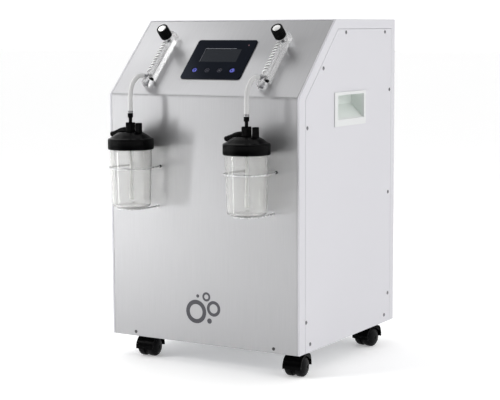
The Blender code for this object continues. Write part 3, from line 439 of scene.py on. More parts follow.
def lit(name, tone, strength):
    """Print that is lit from behind, a little uneven; the same glowing material also makes a painted glint.
    """
    nodes = Nodes(name).set(Roughness=0.35, Emission_Strength=strength)
    cloud = nodes.noise(400, detail=2.0)
    colour = nodes.ramp(cloud, [(0.3, tuple(c * 0.7 for c in tone)), (0.7, tone)])
    nodes.link(colour, nodes.shader.inputs["Base Color"])
    nodes.link(colour, nodes.shader.inputs["Emission Color"])
    return nodes.material


def foam():
    nodes = Nodes("open_foam")
    cells = nodes.add("TexVoronoi", Scale=700)
    nodes.link(nodes.coordinates, cells.inputs["Vector"])
    distance = cells.outputs["Distance"]
    colour = nodes.ramp(distance, [(0.1, (0.01, 0.01, 0.012)), (0.7, (0.1, 0.1, 0.11))])
    nodes.link(colour, nodes.shader.inputs["Base Color"])
    nodes.rough(distance, 0.85, 1.0)
    nodes.bump(distance, 0.8, 0.001)
    return nodes.material


def screen_glass():
    """A display behind dark glass: a faint grid of cells under a polished face."""
    nodes = Nodes("screen_glass").set(IOR=1.5, Specular_IOR_Level=0.19, Specular_Tint=(0.66, 0.8, 1.0, 1.0))
    cells = nodes.add(
        "TexBrick", Scale=260, Color1=(0.004, 0.005, 0.007, 1), Color2=(0.006, 0.007, 0.01, 1),
        Mortar=(0.003, 0.003, 0.005, 1),
    )
    nodes.link(nodes.coordinates, cells.inputs["Vector"])
    nodes.link(cells.outputs["Color"], nodes.shader.inputs["Base Color"])
    nodes.rough(nodes.noise(30, detail=4.0), 0.07, 0.12)
    return nodes.material


MATERIALS = {}


def make_materials():
    MATERIALS.update(
        steel=brushed_steel(),
        white=powder_coat("white_powder_coat", (0.665, 0.66, 0.695), 0.42),
        tray=powder_coat("grey_tray", (0.38, 0.39, 0.41), 0.5),
        cup=cup_with_painted_inner_shade(),
        overlay=polished("black_overlay", (0.0025, 0.0035, 0.0065), 0.08),
        screen=screen_glass(),
        key=polished("dark_key", (0.012, 0.012, 0.02), 0.12),
        icon_blue=lit("icon_blue", (0.15, 0.17, 0.8), 0.9),
        icon_dim=lit("icon_dim", (0.06, 0.06, 0.07), 0.15),
        lamp_red=lit("lamp_red", (0.22, 0.08, 0.1), 0.4),
        # painted glint along the screen window's edge
        caption=lit("dim_print", (0.16, 0.17, 0.19), 0.1),
        acrylic=clear("clear_acrylic", (0.94, 0.94, 0.94), 0.03, 0.2, (0.6, 0.6, 0.61), 1.16),
        jar=clear("clear_jar", (0.93, 0.93, 0.92), 0.04, 0.1, (0.8, 0.8, 0.79), 1.3),
        milky=milky("milky_tube", (0.9, 0.91, 0.9), 0.3, 0.45, (0.6, 0.6, 0.6)),
        hose=milky("silicone_hose", (0.67, 0.67, 0.67), 0.3, 0.12, (0.5, 0.5, 0.5)),
        black=moulded("black_plastic", (0.0011, 0.0011, 0.0013), 0.24, shine=0.045),
        knob=moulded("black_knob", (0.002, 0.002, 0.0022), 0.3, shine=0.1),
        # dark print, also used for the painted shade lines between a flowmeter's ribs
        print=moulded("dark_print", (0.055, 0.055, 0.065), 0.4, 0.02),
        lid=moulded("glossy_lid", (0.0009, 0.0009, 0.0011), 0.22, 0.05, shine=0.06),
        white_print=moulded("white_print", (0.82, 0.83, 0.82), 0.4, 0.02, 1.02),
        chrome=metal("plated_wire", (0.7, 0.7, 0.71), 0.26, 400, 0.45),
        fitting=metal("turned_fitting", (0.34, 0.34, 0.35), 0.28),
        cap=metal("knob_cap", (0.8, 0.8, 0.79), 0.16),
        screw=metal("zinc_screw", (0.24, 0.24, 0.25), 0.22),
        dark_screw=metal("dark_screw", (0.1, 0.1, 0.1), 0.34),
        rubber=moulded("wheel_tread", (0.0024, 0.0024, 0.003), 0.36, 0.15, shine=0.1),
        cast=metal("cast_aluminium", (0.6, 0.61, 0.62), 0.5, 250),
        foam=foam(),
    )


# ---- shapes
def box(low, high):
    shape = bmesh.new()
    bmesh.ops.create_cube(shape, size=1.0)
    low, high = Vector(low), Vector(high)
    bmesh.ops.scale(shape, vec=high - low, verts=shape.verts)
    bmesh.ops.translate(shape, vec=(low + high) / 2, verts=shape.verts)
    return shape


def rod(start, end, radius, sides=32, end_radius=None):
    start, end = Vector(start), Vector(end)
    turn = Vector((0, 0, 1)).rotation_difference(end - start).to_matrix().to_4x4()
    shape = bmesh.new()
    bmesh.ops.create_cone(
        shape, cap_ends=True, segments=sides, radius1=radius,
        radius2=radius if end_radius is None else end_radius,
        depth=(end - start).length, matrix=Matrix.Translation((start + end) / 2) @ turn,
    )
    return shape


def prism(outline, low, high, place=None):
    shape = bmesh.new()
    bottom = [shape.verts.new((x, y, low)) for x, y in outline]
    top = [shape.verts.new((x, y, high)) for x, y in outline]
    shape.faces.new(bottom)
    shape.faces.new(top)
    for i in range(len(outline)):
        j = (i + 1) % len(outline)
        shape.faces.new((bottom[i], bottom[j], top[j], top[i]))
    if place is not None:
        bmesh.ops.transform(shape, matrix=place, verts=shape.verts)
    bmesh.ops.recalc_face_normals(shape, faces=shape.faces)
    return shape


def turned(profile, sides=64, closed=False, flutes=None):
    """A profile of (radius, height) points spun about Z, its wall fluted by (count, depth, low, high)."""
    shape = bmesh.new()
    rings = []
    for radius, height in profile:
        if radius < 1e-7:
            rings.append([shape.verts.new((0, 0, height))])
            continue
        ring = []
        for i in range(sides):
            angle = 2 * math.pi * i / sides
            reach = radius
            if flutes and flutes[2] <= height <= flutes[3]:
                reach -= flutes[1] * (0.5 + 0.5 * math.cos(flutes[0] * angle)) ** 1.5
            ring.append(shape.verts.new((reach * math.cos(angle), reach * math.sin(angle), height)))
        rings.append(ring)
    pairs = list(zip(rings, rings[1:]))
    if closed:
        pairs.append((rings[-1], rings[0]))
    for lower, upper in pairs:
        for i in range(sides):
            corners = [lower[i % len(lower)], lower[(i + 1) % len(lower)]]
            corners += [upper[(i + 1) % len(upper)], upper[i % len(upper)]]
            shape.faces.new(list(dict.fromkeys(corners)))
    bmesh.ops.recalc_face_normals(shape, faces=shape.faces)
    return shape


def arc(centre, radius, start, end, steps):
    points = []
    for i in range(steps + 1):
        angle = math.radians(start + (end - start) * i / steps)
        points.append((centre[0] + radius * math.cos(angle), centre[1] + radius * math.sin(angle)))
    return points


def rounded(low, high, radius, steps=8):
    """A rectangle with rounded corners."""
    (x0, y0), (x1, y1) = low, high
    points = arc((x1 - radius, y0 + radius), radius, -90, 0, steps)
    points += arc((x1 - radius, y1 - radius), radius, 0, 90, steps)
    points += arc((x0 + radius, y1 - radius), radius, 90, 180, steps)
    return points + arc((x0 + radius, y0 + radius), radius, 180, 270, steps)


def softened(profile, radius, steps=4):
    """A profile of points with its inner corners rounded to at most radius."""
    points = [profile[0]]
    for before, corner, after in zip(profile, profile[1:], profile[2:]):
        before, corner, after = Vector(before), Vector(corner), Vector(after)
        back, ahead = before - corner, after - corner
        reach = min(radius, back.length * 0.45, ahead.length * 0.45)
        start, end = corner + back.normalized() * reach, corner + ahead.normalized() * reach
        for i in range(steps + 1):
            t = i / steps
            point = start * (1 - t) ** 2 + corner * 2 * t * (1 - t) + end * t**2
            points.append(tuple(point))
    return points + [profile[-1]]


def supported(profile):
    """A profile with extra points by its corners and along its long stretches, so that it shades evenly."""
    reach, longest = 0.0008, 0.012
    points = [profile[0]]
    for start, end in zip(profile, profile[1:]):
        start, end = Vector(start), Vector(end)
        length = (end - start).length
        if length > 3 * reach:
            steps = max(1, round(length / longest))
            shares = [reach / length] + [i / steps for i in range(1, steps)] + [1 - reach / length]
            points += [tuple(start.lerp(end, share)) for share in shares]
        points.append(tuple(end))
    return points


def tube(points, radius, sides):
    """A round bar along points, as one mesh."""
    points = [Vector(p) for p in points]
    shape = bmesh.new()
    rings = []
    side = None
    for i, point in enumerate(points):
        along = points[min(i + 1, len(points) - 1)] - points[max(i - 1, 0)]
        along.normalize()
        if side is None:
            side = along.orthogonal().normalized()
        side = (side - along * side.dot(along)).normalized()
        other = along.cross(side)
        ring = []
        for k in range(sides):
            angle = 2 * math.pi * k / sides
            ring.append(shape.verts.new(point + (side * math.cos(angle) + other * math.sin(angle)) * radius))
        rings.append(ring)
    for lower, upper in zip(rings, rings[1:]):
        for k in range(sides):
            j = (k + 1) % sides
            shape.faces.new((lower[k], lower[j], upper[j], upper[k]))
    shape.faces.new(list(reversed(rings[0])))
    shape.faces.new(rings[-1])
    bmesh.ops.recalc_face_normals(shape, faces=shape.faces)
    return shape


def joined(shapes):
    """Several shapes in one mesh. Each is moved by its matrix where one is given."""
    whole = bmesh.new()
    for entry in shapes:
        shape, place = entry if isinstance(entry, tuple) else (entry, None)
        if place is not None:
            bmesh.ops.transform(shape, matrix=place, verts=shape.verts)
        mesh = mesh_of(shape, "joined")
        whole.from_mesh(mesh)
        bpy.data.meshes.remove(mesh)
    return whole


def combined(shape, others, operation="DIFFERENCE"):
    """shape with the others cut out of it, or united with it."""
    base = loose_object(shape)
    helpers = [loose_object(other) for other in others]
    for helper in helpers:
        modifier = base.modifiers.new("combine", "BOOLEAN")
        modifier.operation = operation
        modifier.solver = "EXACT"
        modifier.object = helper
    bpy.context.view_layer.update()
    evaluated = base.evaluated_get(bpy.context.evaluated_depsgraph_get())
    result = bmesh.new()
    result.from_mesh(evaluated.to_mesh())
    evaluated.to_mesh_clear()
    for thing in [base] + helpers:
        mesh = thing.data
        bpy.data.objects.remove(thing)
        bpy.data.meshes.remove(mesh)
    bmesh.ops.remove_doubles(result, verts=result.verts, dist=1e-6)
    return result


def loose_object(shape):
    return linked("loose", mesh_of(shape, "loose"))


def mesh_of(shape, name):
    """A shape as a mesh. The shape itself is freed."""
    mesh = bpy.data.meshes.new(name)
    shape.to_mesh(mesh)
    shape.free()
    return mesh


def soft_turned(profile, radius, sides, closed=False, flutes=None, steps=4):
    """A turned profile with its inner corners rounded."""
    return turned(softened(profile, radius, steps), sides, closed, flutes)


def piece(name, shape, look, body, place=None, stands_for=(), bevel=0.0, steps=2, smooth=35):
    """One visible piece: its mesh, its material, the body it rides on and the CAD nodes it stands for."""
    mesh = mesh_of(shape, name)
    if place is not None:
        mesh.transform(place)
    mesh.materials.append(MATERIALS[look])
    mesh.shade_smooth()
    mesh.set_sharp_from_angle(angle=math.radians(smooth))
    thing = linked(name, mesh)
    if bevel:
        add_bevel(thing, bevel, steps)
    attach(thing, body)
    if stands_for:
        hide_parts(*stands_for)
    return thing


def add_bevel(thing, width, steps):
    bevel = thing.modifiers.new("edges", "BEVEL")
    bevel.width = width
    bevel.segments = steps
    bevel.limit_method = "ANGLE"
    bevel.angle_limit = math.radians(38)
    bevel.harden_normals = True


def keep_node(name, look):
    """A CAD node whose shape is right: it gets a better material."""
    thing = frame["nodes"][name]
    thing.data.materials.clear()
    thing.data.materials.append(MATERIALS[look])


def refined_node(name, look, bevel):
    """A CAD node's shape, welded and with softened edges, as a piece that stands for it."""
    node = frame["nodes"][name]
    shape = bmesh.new()
    shape.from_mesh(node.data)
    bmesh.ops.remove_doubles(shape, verts=shape.verts, dist=0.00001)
    bmesh.ops.dissolve_limit(shape, angle_limit=0.001, verts=shape.verts, edges=shape.edges)
    piece(f"{name}_finish", shape, look, node["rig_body"], None, [name], bevel)


# ---- cabinet
def bend_corner(inset=0.0):
    """The bend between the upright front and the slope, from below, moved inwards by inset."""
    centre = (FRONT_Y + BEND_RADIUS, BEND_Z - BEND_RADIUS * math.tan(math.radians(22.5)))
    return arc(centre, BEND_RADIUS - inset, 180, 135, 12)


def seam_outline(inset, bottom):
    """The side cover's outline, moved inwards by inset, down to the height bottom."""
    front = FRONT_Y + SEAM_FRONT + inset
    rear = REAR_Y - SEAM_REAR - inset
    top = TOP_Z - SEAM_TOP - inset
    slope_z = BEND_Z + (front - FRONT_Y) - (SEAM_SLOPE + inset) * math.sqrt(2)
    return [(front, bottom), (rear, bottom), (rear, top), (front + top - slope_z, top), (front, slope_z)]


def make_cabinet_frame():
    outline = [(FRONT_Y, BODY_BOTTOM), (REAR_Y, BODY_BOTTOM), (REAR_Y, TOP_Z), (FRONT_Y + SLOPE_RISE, TOP_Z)]
    outline += reversed(bend_corner())
    hollow_half = HALF_WIDTH - SIDE_THICKNESS
    under = BODY_BOTTOM - CUT_PAST
    cuts = [box((-hollow_half, FRONT_Y - CUT_PAST, under), (hollow_half, REAR_Y + CUT_PAST, TOP_Z - SHEET))]
    for side in (-1, 1):
        outside, seat = side * (HALF_WIDTH + CUT_PAST), side * (HALF_WIDTH - SEAT_DEPTH)
        cuts.append(prism(seam_outline(0, under), min(seat, outside), max(seat, outside), UPRIGHT))
        inside = side * (hollow_half - CUT_PAST)
        way = seam_outline(SEAT_WIDTH, BODY_BOTTOM + SEAT_WIDTH)
        cuts.append(prism(way, min(inside, outside), max(inside, outside), UPRIGHT))
    shape = combined(prism(outline, -HALF_WIDTH, HALF_WIDTH, UPRIGHT), cuts)
    piece("cabinet_frame", shape, "white", "cabinet", None, ["cabinet_shell"], 0.0007)


def make_front_sheet():
    slope_end = TOP_Z - SHEET - GAP
    slope_y = FRONT_Y + slope_end - BEND_Z
    outline = [(FRONT_Y, BODY_BOTTOM)] + bend_corner()
    outline += [(slope_y, slope_end), (slope_y + SHEET * math.sqrt(2), slope_end)]
    outline += list(reversed(bend_corner(SHEET))) + [(FRONT_Y + SHEET, BODY_BOTTOM)]
    window = box((-WINDOW_HALF_WIDTH, WINDOW_LOW, -0.01), (WINDOW_HALF_WIDTH, WINDOW_HIGH, 0.01))
    bmesh.ops.transform(window, matrix=slope_place(0, 0, 0), verts=window.verts)
    sheet = combined(prism(outline, -PANEL_HALF, PANEL_HALF, UPRIGHT), [window])
    front = piece("front_sheet", sheet, "steel", "cabinet", None, ["front_panel"], 0.0004, smooth=30)
    front.modifiers.new("normals", "WEIGHTED_NORMAL").keep_sharp = True


def make_cabinet():
    make_cabinet_frame()
    make_front_sheet()
    for side in ("left", "right"):
        refined_node(f"{side}_side_cover", "white", 0.0004)
        refined_node(f"{side}_handle_cup", "cup", 0.0006)
    refined_node("filter_door", "white", 0.0005)
    refined_node("power_inlet", "black", 0.0004)
    for look, names in KEPT_NODES.items():
        for name in names:
            keep_node(name, look)


def make_rear_fittings():
    """The inlet's three pins, and the filter door's latch and hinge barrels."""
    low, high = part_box("power_inlet")
    middle = (low + high) / 2
    half = Vector((0.0011, 0.0055, 0.002))
    pins = []
    for x, z in ((-0.007, 0.0), (0.0, 0.0035), (0.007, 0.0)):
        centre = Vector((middle.x + x, high.y - 0.0075, middle.z + z))
        pins.append(box(centre - half, centre + half))
    piece("inlet_pins", joined(pins), "chrome", "cabinet", bevel=0.0003)
    low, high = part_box("filter_door")
    profile = [(0, -0.001), (0.0062, -0.001), (0.0062, 0.0006), (0.0052, 0.0014), (0, 0.0014)]
    slit = box((-0.0045, -0.0006, 0.0006), (0.0045, 0.0006, 0.003))
    latch = combined(soft_turned(profile, 0.0005, 48), [slit])
    centre = moved(high.x - 0.0085, high.y, (low.z + high.z) / 2)
    piece("filter_door_latch", latch, "knob", "filter_door", centre @ BACKWARDS)
    barrels = []
    for share in (0.18, 0.82):
        height = low.z + (high.z - low.z) * share
        for start, end in ((-0.009, -0.0032), (-0.0029, 0.0029), (0.0032, 0.009)):
            barrels.append(rod((low.x, high.y, height + start), (low.x, high.y, height + end), 0.0017, 24))
    piece("filter_door_hinges", joined(barrels), "chrome", "filter_door", bevel=0.0002)


def screw_head(radius):
    """A low pan head with a cross recess, standing on Z = 0."""
    profile = [(0, -0.001), (radius, -0.001), (radius, 0.0004), (radius * 0.6, 0.0009), (0, 0.001)]
    arm, wide = radius * 0.62, radius * 0.17
    slots = [box((-arm, -wide, 0.0004), (arm, wide, 0.002)), box((-wide, -arm, 0.0004), (wide, arm, 0.002))]
    return combined(soft_turned(profile, 0.0004, 32), slots)


def make_screws():
    for label, side in (("left", -1), ("right", 1)):
        heads = []
        for i, (y, z) in enumerate(SIDE_SCREWS):
            outwards = Matrix.Rotation(side * math.pi / 2, 4, "Y") @ Matrix.Rotation(0.7 * i, 4, "Z")
            heads.append((screw_head(SIDE_SCREW_RADIUS), moved(side * HALF_WIDTH, y, z) @ outwards))
        piece(f"{label}_cover_screws", joined(heads), "screw", "cabinet")
    heads = []
    for x in (-FRONT_SCREW_X, FRONT_SCREW_X):
        heads.append((screw_head(FRONT_SCREW_RADIUS), moved(x, FRONT_Y, FRONT_SCREW_Z) @ FORWARDS))
    piece("front_screws", joined(heads), "dark_screw", "cabinet")
    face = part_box("rear_panel")[1].y
    heads = []
    for x in (-0.172, 0.0, 0.172):
        for z in (0.055, 0.31, 0.57):
            heads.append((screw_head(REAR_SCREW_RADIUS), moved(x, face, z) @ BACKWARDS))
    piece("rear_screws", joined(heads), "screw", "cabinet")


def make_emblem():
    """A plain printed mark of rings and dots, like rising bubbles."""
    low, high = -0.0003, 0.00012
    parts = []
    for x, y, radius, width in EMBLEM_RINGS:
        profile = [(radius - width, low), (radius, low), (radius, high), (radius - width, high)]
        parts.append((turned(profile, 72, True), moved(x, y)))
    for x, y, radius in EMBLEM_DOTS:
        parts.append((turned([(0, low), (radius, low), (radius, high), (0, high)], 48), moved(x, y)))
    piece("front_emblem", joined(parts), "print", "cabinet", moved(0, FRONT_Y, EMBLEM_Z) @ FORWARDS)


# ---- control panel
def make_control_panel():
    place = slope_place(0, 0, 0)
    left, right, low, high = -SCREEN_HALF_WIDTH, SCREEN_HALF_WIDTH, SCREEN_LOW, SCREEN_HIGH
    outline = rounded((-OVERLAY_HALF_WIDTH, OVERLAY_LOW), (OVERLAY_HALF_WIDTH, OVERLAY_HIGH), 0.005, 10)
    holes = [prism(rounded((left, low), (right, high), 0.0012, 5), -0.01, 0.01)]
    holes += [rod((x, KEY_ROW, -0.01), (x, KEY_ROW, 0.01), KEY_RADIUS + 0.0003, 48) for x in KEYS.values()]
    shape = combined(prism(outline, GAP, OVERLAY_TOP), [joined(holes)])
    piece("panel_overlay", shape, "overlay", "cabinet", place, ["keypad_overlay"], 0.0003, 3)
    board = box((-0.053, 0.046, -0.014), (0.053, 0.121, -0.0026))
    glass = prism(rounded((left + GAP, low + GAP), (right - GAP, high - GAP), 0.001, 5), -0.003, SCREEN_TOP)
    shape = combined(board, [glass], "UNION")
    piece("display", shape, "screen", "cabinet", place, ["display_module"], 0.00015)
    # painted glint: pale, faintly glowing lines along the screen window's top and left edges, where its edge
    # catches the light
    under, over = OVERLAY_TOP - 0.0002, OVERLAY_TOP + 0.00008
    painted_light_lines = [box((left, high - 0.0002, under), (right * 0.7, high + 0.0007, over))]
    painted_light_lines.append(box((left - 0.0004, low, under), (left, high, over)))
    piece("screen_edge_painted_glint", joined(painted_light_lines), "caption", "cabinet", place)
    profile = [(0.0012, OVERLAY_TOP - 0.0003), (0.0012, OVERLAY_TOP + 0.00006), (0, OVERLAY_TOP + 0.00012)]
    lamp = soft_turned(profile, 0.0001, 24)
    piece("status_lamp", lamp, "lamp_red", "cabinet", place @ moved(0.0467, 0.1174))
    make_keys()


def make_keys():
    profile = [(0, -0.0026), (KEY_RADIUS, -0.0026), (KEY_RADIUS, -0.0002), (0.0043, 0.0), (0, -0.00012)]
    for label, x in KEYS.items():
        body = f"key_{label}"
        place = slope_place(x, KEY_ROW, OVERLAY_TOP - 0.0002)
        cap = soft_turned(profile, 0.0003, 48)
        piece(f"key_{label}_cap", cap, "key", body, place, [f"key_{label}"])
        rings, bars = KEY_MARKS[label]
        parts = [(ring_part(0.0041, 0.0003, 0, FULL_TURN), moved(0, 0, -0.00003))]
        parts += [ring_part(radius, 0.0006, start, end) for radius, start, end in rings]
        parts += [box((x0, y0, 0), (x1, y1, PRINT_THICKNESS)) for x0, y0, x1, y1 in bars]
        look = "icon_blue" if label in ("power", "timer") else "icon_dim"
        piece(f"key_{label}_mark", joined(parts), look, body, place)


def ring_part(radius, width, start, end):
    """A flat strip along part of a circle."""
    outline = arc((0, 0), radius + width / 2, start, end, 40)
    outline += reversed(arc((0, 0), radius - width / 2, start, end, 40))
    return prism(outline, 0, PRINT_THICKNESS)


# ---- flowmeters
def make_meter_block(label, x):
    """The clear block, round in front, with its bores, a step at its lower end, its graduations, and painted
    shade lines between its ribs.
    """
    place = slope_place(x, 0, 0)
    axis = METER_AXIS_HEIGHT
    outline = [(-METER_HALF_WIDTH, GAP), (METER_HALF_WIDTH, GAP)]
    outline += arc((0, axis), METER_HALF_WIDTH, 0, 180, 28)
    start = METER_LOW - 0.01
    bores = [rod((0, start, axis), (0, TUBE_TOP, axis), TUBE_BORE, 40)]
    bores.append(rod((0, KNOB_UP, 0.006), (0, KNOB_UP, 0.03), VALVE_BORE, 40))
    step = box((0.0022, start, -0.01), (METER_HALF_WIDTH + 0.01, METER_STEP, 0.03))
    body = combined(prism(outline, METER_LOW, METER_HIGH, LENGTHWAYS), [joined(bores), step])
    node = f"{label}_flowmeter_body"
    piece(f"{label}_meter_block", body, "acrylic", "cabinet", place, [node], 0.0011, 4)
    ribs, ticks, painted_light_lines = [], [], []
    for i in range(RIBS):
        up = RIB_LOW + RIB_PITCH * i
        path = [(px, up, py) for px, py in arc((0, axis), METER_HALF_WIDTH - 0.0006, 70, 172, 20)]
        ribs.append(tube(path, 0.0012, 10))
        ticks.append(box((0.0012, up - 0.0016, axis + 0.0076), (0.003, up + 0.0012, axis + 0.0083)))
        # painted shade: thin dark lines between the ribs, where shade falls between them; the ticks are
        # printed marks
        path = [(px, up + 0.0033, py) for px, py in arc((0, axis), METER_HALF_WIDTH, 80, 160, 16)]
        painted_light_lines.append(tube(path, 0.00035, 8))
    piece(f"{label}_meter_graduations", joined(ribs), "white_print", "cabinet", place)
    ticks.append(box((0.0028, 0.11, axis + 0.0064), (0.0068, 0.115, axis + 0.0072)))
    piece(f"{label}_meter_print", joined(ticks + painted_light_lines), "print", "cabinet", place)


def make_meter_knob(label, x):
    """The float in its tube, and the needle valve's bonnet and fluted knob with its pale cap."""
    node = f"{label}_flowmeter"
    bob = soft_turned([(0, 0), (0.0012, 0), (0.0028, 0.0035), (0.0028, 0.008), (0, 0.008)], 0.0005, 32)
    place = slope_place(x, FLOAT_UP, METER_AXIS_HEIGHT) @ BACKWARDS
    piece(f"{label}_meter_bob", bob, "knob", f"{label}_float", place, [f"{node}_float"])
    profile = [(0.0034, 0.0172), (0.0072, 0.0172), (0.0072, 0.019), (0.0062, 0.0202), (0.0034, 0.0202)]
    bonnet = soft_turned(profile, 0.0004, 48, True)
    piece(f"{label}_meter_bonnet", bonnet, "chrome", "cabinet", slope_place(x, KNOB_UP, 0))
    top, dished = KNOB_LENGTH, KNOB_LENGTH - 0.0012
    grip = [
        (0, -0.0125), (0.003, -0.0125), (0.003, -0.0002), (0.009, 0), (KNOB_RADIUS - 0.0002, 0.0012),
        (KNOB_RADIUS, 0.003), (KNOB_RADIUS, 0.01), (KNOB_RADIUS, top - 0.0022),
        (KNOB_RADIUS - 0.0006, top - 0.0004), (0.0086, top), (0.0081, dished), (0, dished),
    ]
    knob = turned(grip, 192, flutes=(32, 0.0007, 0.0025, top - 0.002))
    body, place = f"{label}_knob", slope_place(x, KNOB_UP, KNOB_BASE)
    piece(f"{label}_meter_knob", knob, "knob", body, place, [f"{node}_knob"])
    profile = [(0, top - 0.0014), (CAP_RADIUS, top - 0.0014), (CAP_RADIUS, top - 0.0006), (0, top - 0.0005)]
    piece(f"{label}_knob_cap", soft_turned(profile, 0.0004, 64), "cap", body, place)


def make_meter_fittings(label, x):
    """The plug at the tube's lower end, the outlet with its barb, and the stud on the block's step."""
    node = f"{label}_flowmeter"
    profile = [
        (0, -0.0028), (0.0035, -0.0028), (0.0045, -0.0018), (0.0045, -GAP), (0.003, -GAP),
        (0.003, 0.008), (0, 0.008),
    ]
    hexagon = prism(arc((0, 0), 0.0022, 0, 300, 5), -0.006, -0.0012)
    plug = combined(soft_turned(profile, 0.0004, 48), [hexagon])
    place = slope_place(x, METER_LOW, METER_AXIS_HEIGHT) @ BACKWARDS
    piece(f"{label}_meter_plug", plug, "fitting", "cabinet", place, [f"{node}_end_plug"])
    start = on_slope(x, OUTLET_UP - 0.0014, OUTLET_HEIGHT + 0.0014)
    tip = Vector((x, FRONT_Y - 0.004, start.z))
    profile = [(0.0, 0.0182), (0.005, 0.0182), (0.005, 0.0212), (0.0042, 0.0218), (0, 0.0218)]
    parts = [(soft_turned(profile, 0.0004, 48), slope_place(x, OUTLET_UP, 0)), rod(start, tip, 0.0027, 32)]
    parts.append(rod((x, tip.y + 0.0022, tip.z), tip, 0.0032, 32, 0.0026))
    stands_for = [f"{node}_outlet_barb"]
    piece(f"{label}_meter_outlet", joined(parts), "fitting", "cabinet", None, stands_for)
    stud = rod((0.0055, METER_STEP + 0.001, 0.0082), (0.0055, METER_STEP - 0.0014, 0.0082), 0.0034, 32)
    piece(f"{label}_meter_stud", stud, "knob", "cabinet", slope_place(x, 0, 0), bevel=0.0003)


# ---- humidifier bottles
def make_jar(label, place):
    floor, wall = JAR_BOTTOM_Z, JAR_WALL
    outer = [
        (0, floor + 0.0012), (0.024, floor + 0.001), (0.0285, floor), (0.0328, floor + 0.003),
        (0.036, 0.372), (JAR_RADIUS, 0.374), (JAR_RADIUS, JAR_TOP_Z),
    ]
    inner = [
        (JAR_RADIUS - wall, JAR_TOP_Z), (0.036 - wall, 0.372), (0.0328 - wall, floor + 0.005),
        (0.028, floor + 0.003), (0, floor + 0.0034),
    ]
    jar = turned(supported(softened(outer + inner, 0.0016)), 128)
    piece(f"{label}_jar_wall", jar, "jar", f"{label}_jar", place, [f"{label}_humidifier_jar"])


def lid_cap():
    """The screw cap: fluted rim and stepped dome."""
    low, rim, dome = LID_LOW_Z, LID_RIM_Z, LID_DOME_Z
    profile = [
        (0, LID_CEILING_Z), (0.0369, LID_CEILING_Z), (0.0369, low), (LID_RADIUS - 0.0003, low),
        (LID_RADIUS, low + 0.0015), (LID_RADIUS, rim - 0.0016), (LID_RADIUS - 0.0012, rim),
        (0.0345, rim + 0.0014), (0.0275, rim + 0.0068), (0.0205, dome), (0.013, dome + 0.0008),
        (0, dome + 0.001),
    ]
    return soft_turned(profile, 0.0008, 288, flutes=(72, 0.00045, low + 0.002, rim - 0.002), steps=3)


def lid_towers():
    """The turret with its stem, and the relief valve's housing beside it."""
    dome = LID_DOME_Z
    profile = [
        (0, dome - 0.004), (0.0083, dome - 0.004), (0.0083, dome + 0.003), (0.0083, 0.418),
        (0.0076, 0.4195), (0.003, 0.4195), (0, 0.4195),
    ]
    turret = soft_turned(profile, 0.0005, 144, flutes=(18, 0.0006, dome, 0.4182))
    tip = 0.4351 - GAP
    stem = soft_turned([(0, 0.419), (0.003, 0.419), (0.003, 0.4348), (0.0024, tip), (0, tip)], 0.0003, 32)
    profile = [
        (0, dome - 0.008), (0.0057, dome - 0.008), (0.0057, dome + 0.002), (0.0057, 0.4178),
        (0.005, 0.419), (0, 0.419),
    ]
    valve = soft_turned(profile, 0.0005, 128, flutes=(16, 0.0005, dome, 0.418))
    return [turret, stem, (valve, moved(0.0172))]


def lid_barb():
    """The outlet, curving out of the turret to the left, with three barbs."""
    parts = [tube(BARB_ROUTE[:5], 0.0051, 24), tube(BARB_ROUTE, 0.004, 24)]
    root, tip = Vector(BARB_ROUTE[4]), Vector(BARB_ROUTE[6])
    for i in range(3):
        start, end = root.lerp(tip, 0.25 + 0.3 * i), root.lerp(tip, 0.4 + 0.3 * i)
        parts.append(rod(start, end, 0.0047, 32, 0.004))
    return parts


def make_bottle(label, x):
    place = moved(x, BOTTLE_Y)
    bottle, node = f"{label}_bottle", f"{label}_humidifier"
    make_jar(label, place)
    lid = joined([lid_cap()] + lid_towers() + lid_barb())
    piece(f"{label}_lid", lid, "lid", bottle, place, [f"{node}_lid"])
    profile = [(0.0033, 0.4276), (0.0044, 0.4275), (0.0047, 0.4282), (0.0047, 0.4343), (0.0043, 0.4351)]
    profile.append((0.0033, 0.435))
    nut = soft_turned(profile, 0.0003, 96, True, (12, 0.0004, 0.4283, 0.4343))
    piece(f"{label}_nut", nut, "black", f"{label}_nut", place, [f"{node}_inlet_nut"])
    profile = [(0.004, 0.4353), (0.0046, 0.4353), (0.0046, 0.4388), (0.0042, 0.4392), (0.004, 0.4392)]
    piece(f"{label}_hose_ferrule", soft_turned(profile, 0.0003, 48, True), "fitting", bottle, place)
    top = LID_CEILING_Z - GAP
    profile = [(0, 0.287), (0.0036, 0.287), (0.004, 0.2885), (0.004, 0.306), (0.0025, 0.3085)]
    diffuser = soft_turned(profile + [(0.0025, top), (0, top)], 0.0004, 48)
    piece(f"{label}_diffuser", diffuser, "milky", bottle, place, [f"{node}_diffuser"])
    make_wires(label, x)


